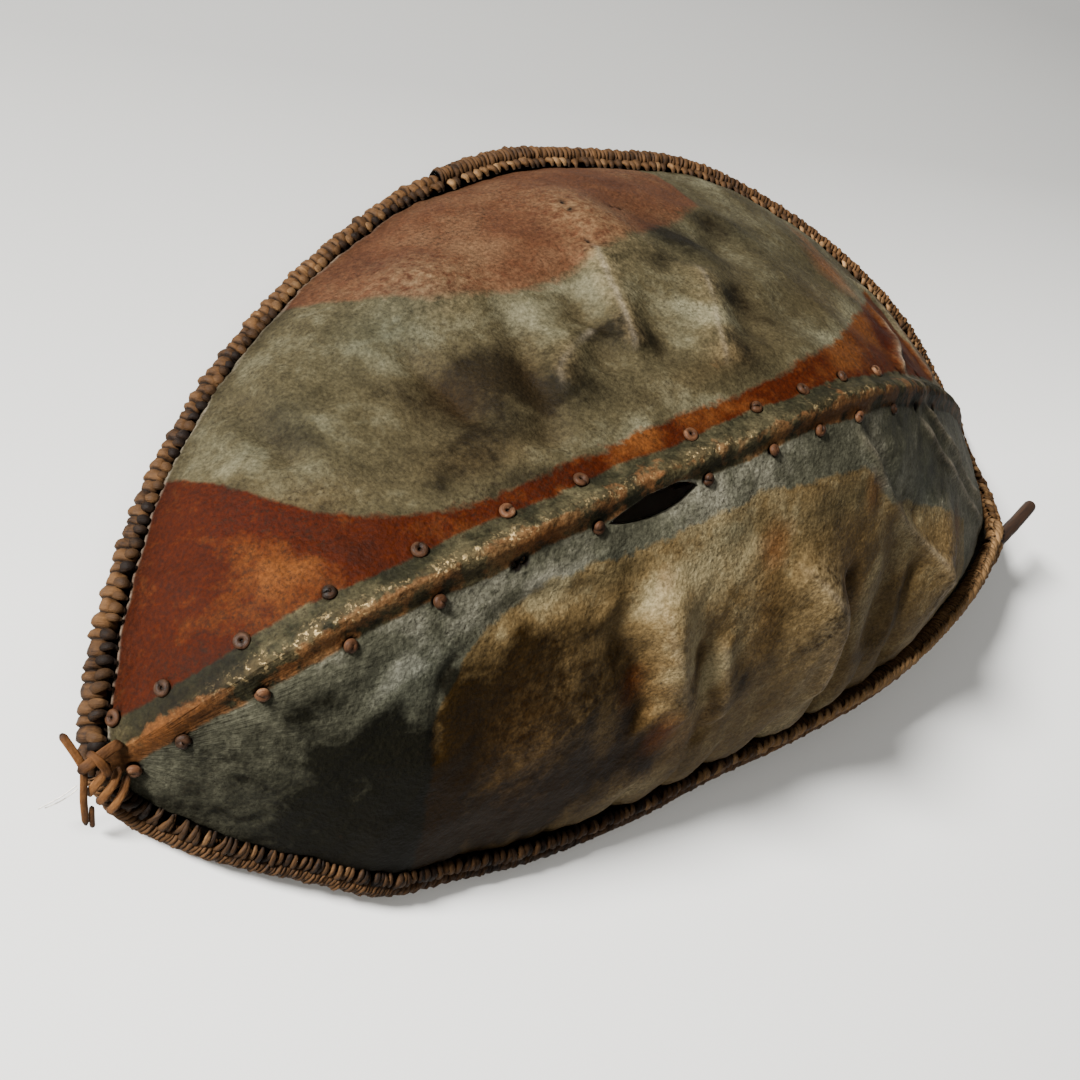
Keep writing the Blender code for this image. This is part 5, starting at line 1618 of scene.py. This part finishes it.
class SHIELD_OT_ties(bpy.types.Operator):
    """Make the thongs knotted round the left tip, the hairs there and the thread at the right"""

    bl_idname = "shield.ties"
    bl_label = "Ties"

    def execute(self, context):
        sizes = context.scene.shield_sizes
        random = np.random.default_rng(sizes.seed + 2)
        leather = thong_leather("newer_hide_thong", "221206", "5c3a1c", "8e6238", 0.55)
        for name, straps in TIP_THONGS.items():
            bundle = Bundle()
            for points, wide, thick in straps:
                line = smooth_line(points, 0.0012)
                share = np.linspace(0, 1, len(line))
                ends = blunted(share, 8)
                across = np.cross(np.gradient(line, axis=0), TIP_FACING)
                across += 0.10 * np.linalg.norm(across, axis=1, keepdims=True) \
                    * np.sin(share * 9)[:, None]
                bundle.strap(line, across, wide * ends, thick * ends, sides=12, square=0.8,
                             tone=random.uniform(0.0, 0.6))
            bundle.piece(f"{name}_thong", leather, [name])
        thread = sinew_thread("twisted_sinew", linear("d8d2c4"))
        fine = Bundle()
        for points in HAIR:
            fine.strap(smooth_line(points, 0.0015), UPWARD, HAIR_RADIUS, HAIR_RADIUS, sides=6)
        fine.piece("tip_hairs", thread)
        verts, faces, layers = sweep(smooth_line(THREAD, 0.0015), UPWARD, THREAD_RADIUS,
                                     THREAD_RADIUS, sides=8)
        add_piece("tip_thread_sinew", verts, faces, thread, ["tip_thread"], layers)
        return {"FINISHED"}


class SHIELD_OT_rod(bpy.types.Operator):
    """Make the bare end of a rim rod that runs on past the shoulder"""

    bl_idname = "shield.rod"
    bl_label = "Rod end"

    def execute(self, context):
        line = smooth_line(ROD, 0.0015)
        share = np.linspace(0, 1, len(line))
        rough = np.array([noise.noise((s * 9, 2.0, 5.0)) for s in share])
        radius = ROD_RADIUS * (1 - 0.08 * share + 0.05 * rough)
        radius[-3:] *= (0.97, 0.90, 0.70)
        verts, faces, layers = sweep(line, UPWARD, radius, radius, sides=14)
        wood = bare_hardwood("peeled_stick", "060302", "2e1c0e")
        add_piece("rod_end_wood", verts, faces, wood, ["rim_rod_end"], layers)
        return {"FINISHED"}


class SHIELD_PT_panel(bpy.types.Panel):
    """The shield's settings and its pieces"""

    bl_idname = "SHIELD_PT_panel"
    bl_label = "Hide shield"
    bl_space_type = "VIEW_3D"
    bl_region_type = "UI"
    bl_category = "Hide shield"

    def draw(self, context):
        scene = context.scene
        for operator in OPERATORS:
            self.layout.operator(operator.bl_idname)
        for settings in (scene.shield_stage, scene.shield_sizes, scene.shield_paint):
            box = self.layout.box()
            for key in settings.bl_rna.properties.keys():
                if key not in ("rna_type", "name"):
                    box.prop(settings, key)


OPERATORS = (SHIELD_OT_stage, SHIELD_OT_hide, SHIELD_OT_rim, SHIELD_OT_stave, SHIELD_OT_laces,
             SHIELD_OT_ties, SHIELD_OT_rod)
GROUPS = {"shield_stage": ShieldStage, "shield_sizes": ShieldSizes, "shield_paint": ShieldPaint}


def register():
    for item in (*GROUPS.values(), *OPERATORS, SHIELD_PT_panel):
        bpy.utils.register_class(item)
    for key, group in GROUPS.items():
        setattr(bpy.types.Scene, key, PointerProperty(type=group))


def unregister():
    for key in GROUPS:
        delattr(bpy.types.Scene, key)
    for item in (SHIELD_PT_panel, *reversed(OPERATORS), *reversed(GROUPS.values())):
        bpy.utils.unregister_class(item)


def main():
    register()
    for step in (bpy.ops.shield.stage, bpy.ops.shield.hide, bpy.ops.shield.rim,
                 bpy.ops.shield.stave, bpy.ops.shield.laces, bpy.ops.shield.ties,
                 bpy.ops.shield.rod):
        step()


if __name__ == "__main__":
    main()
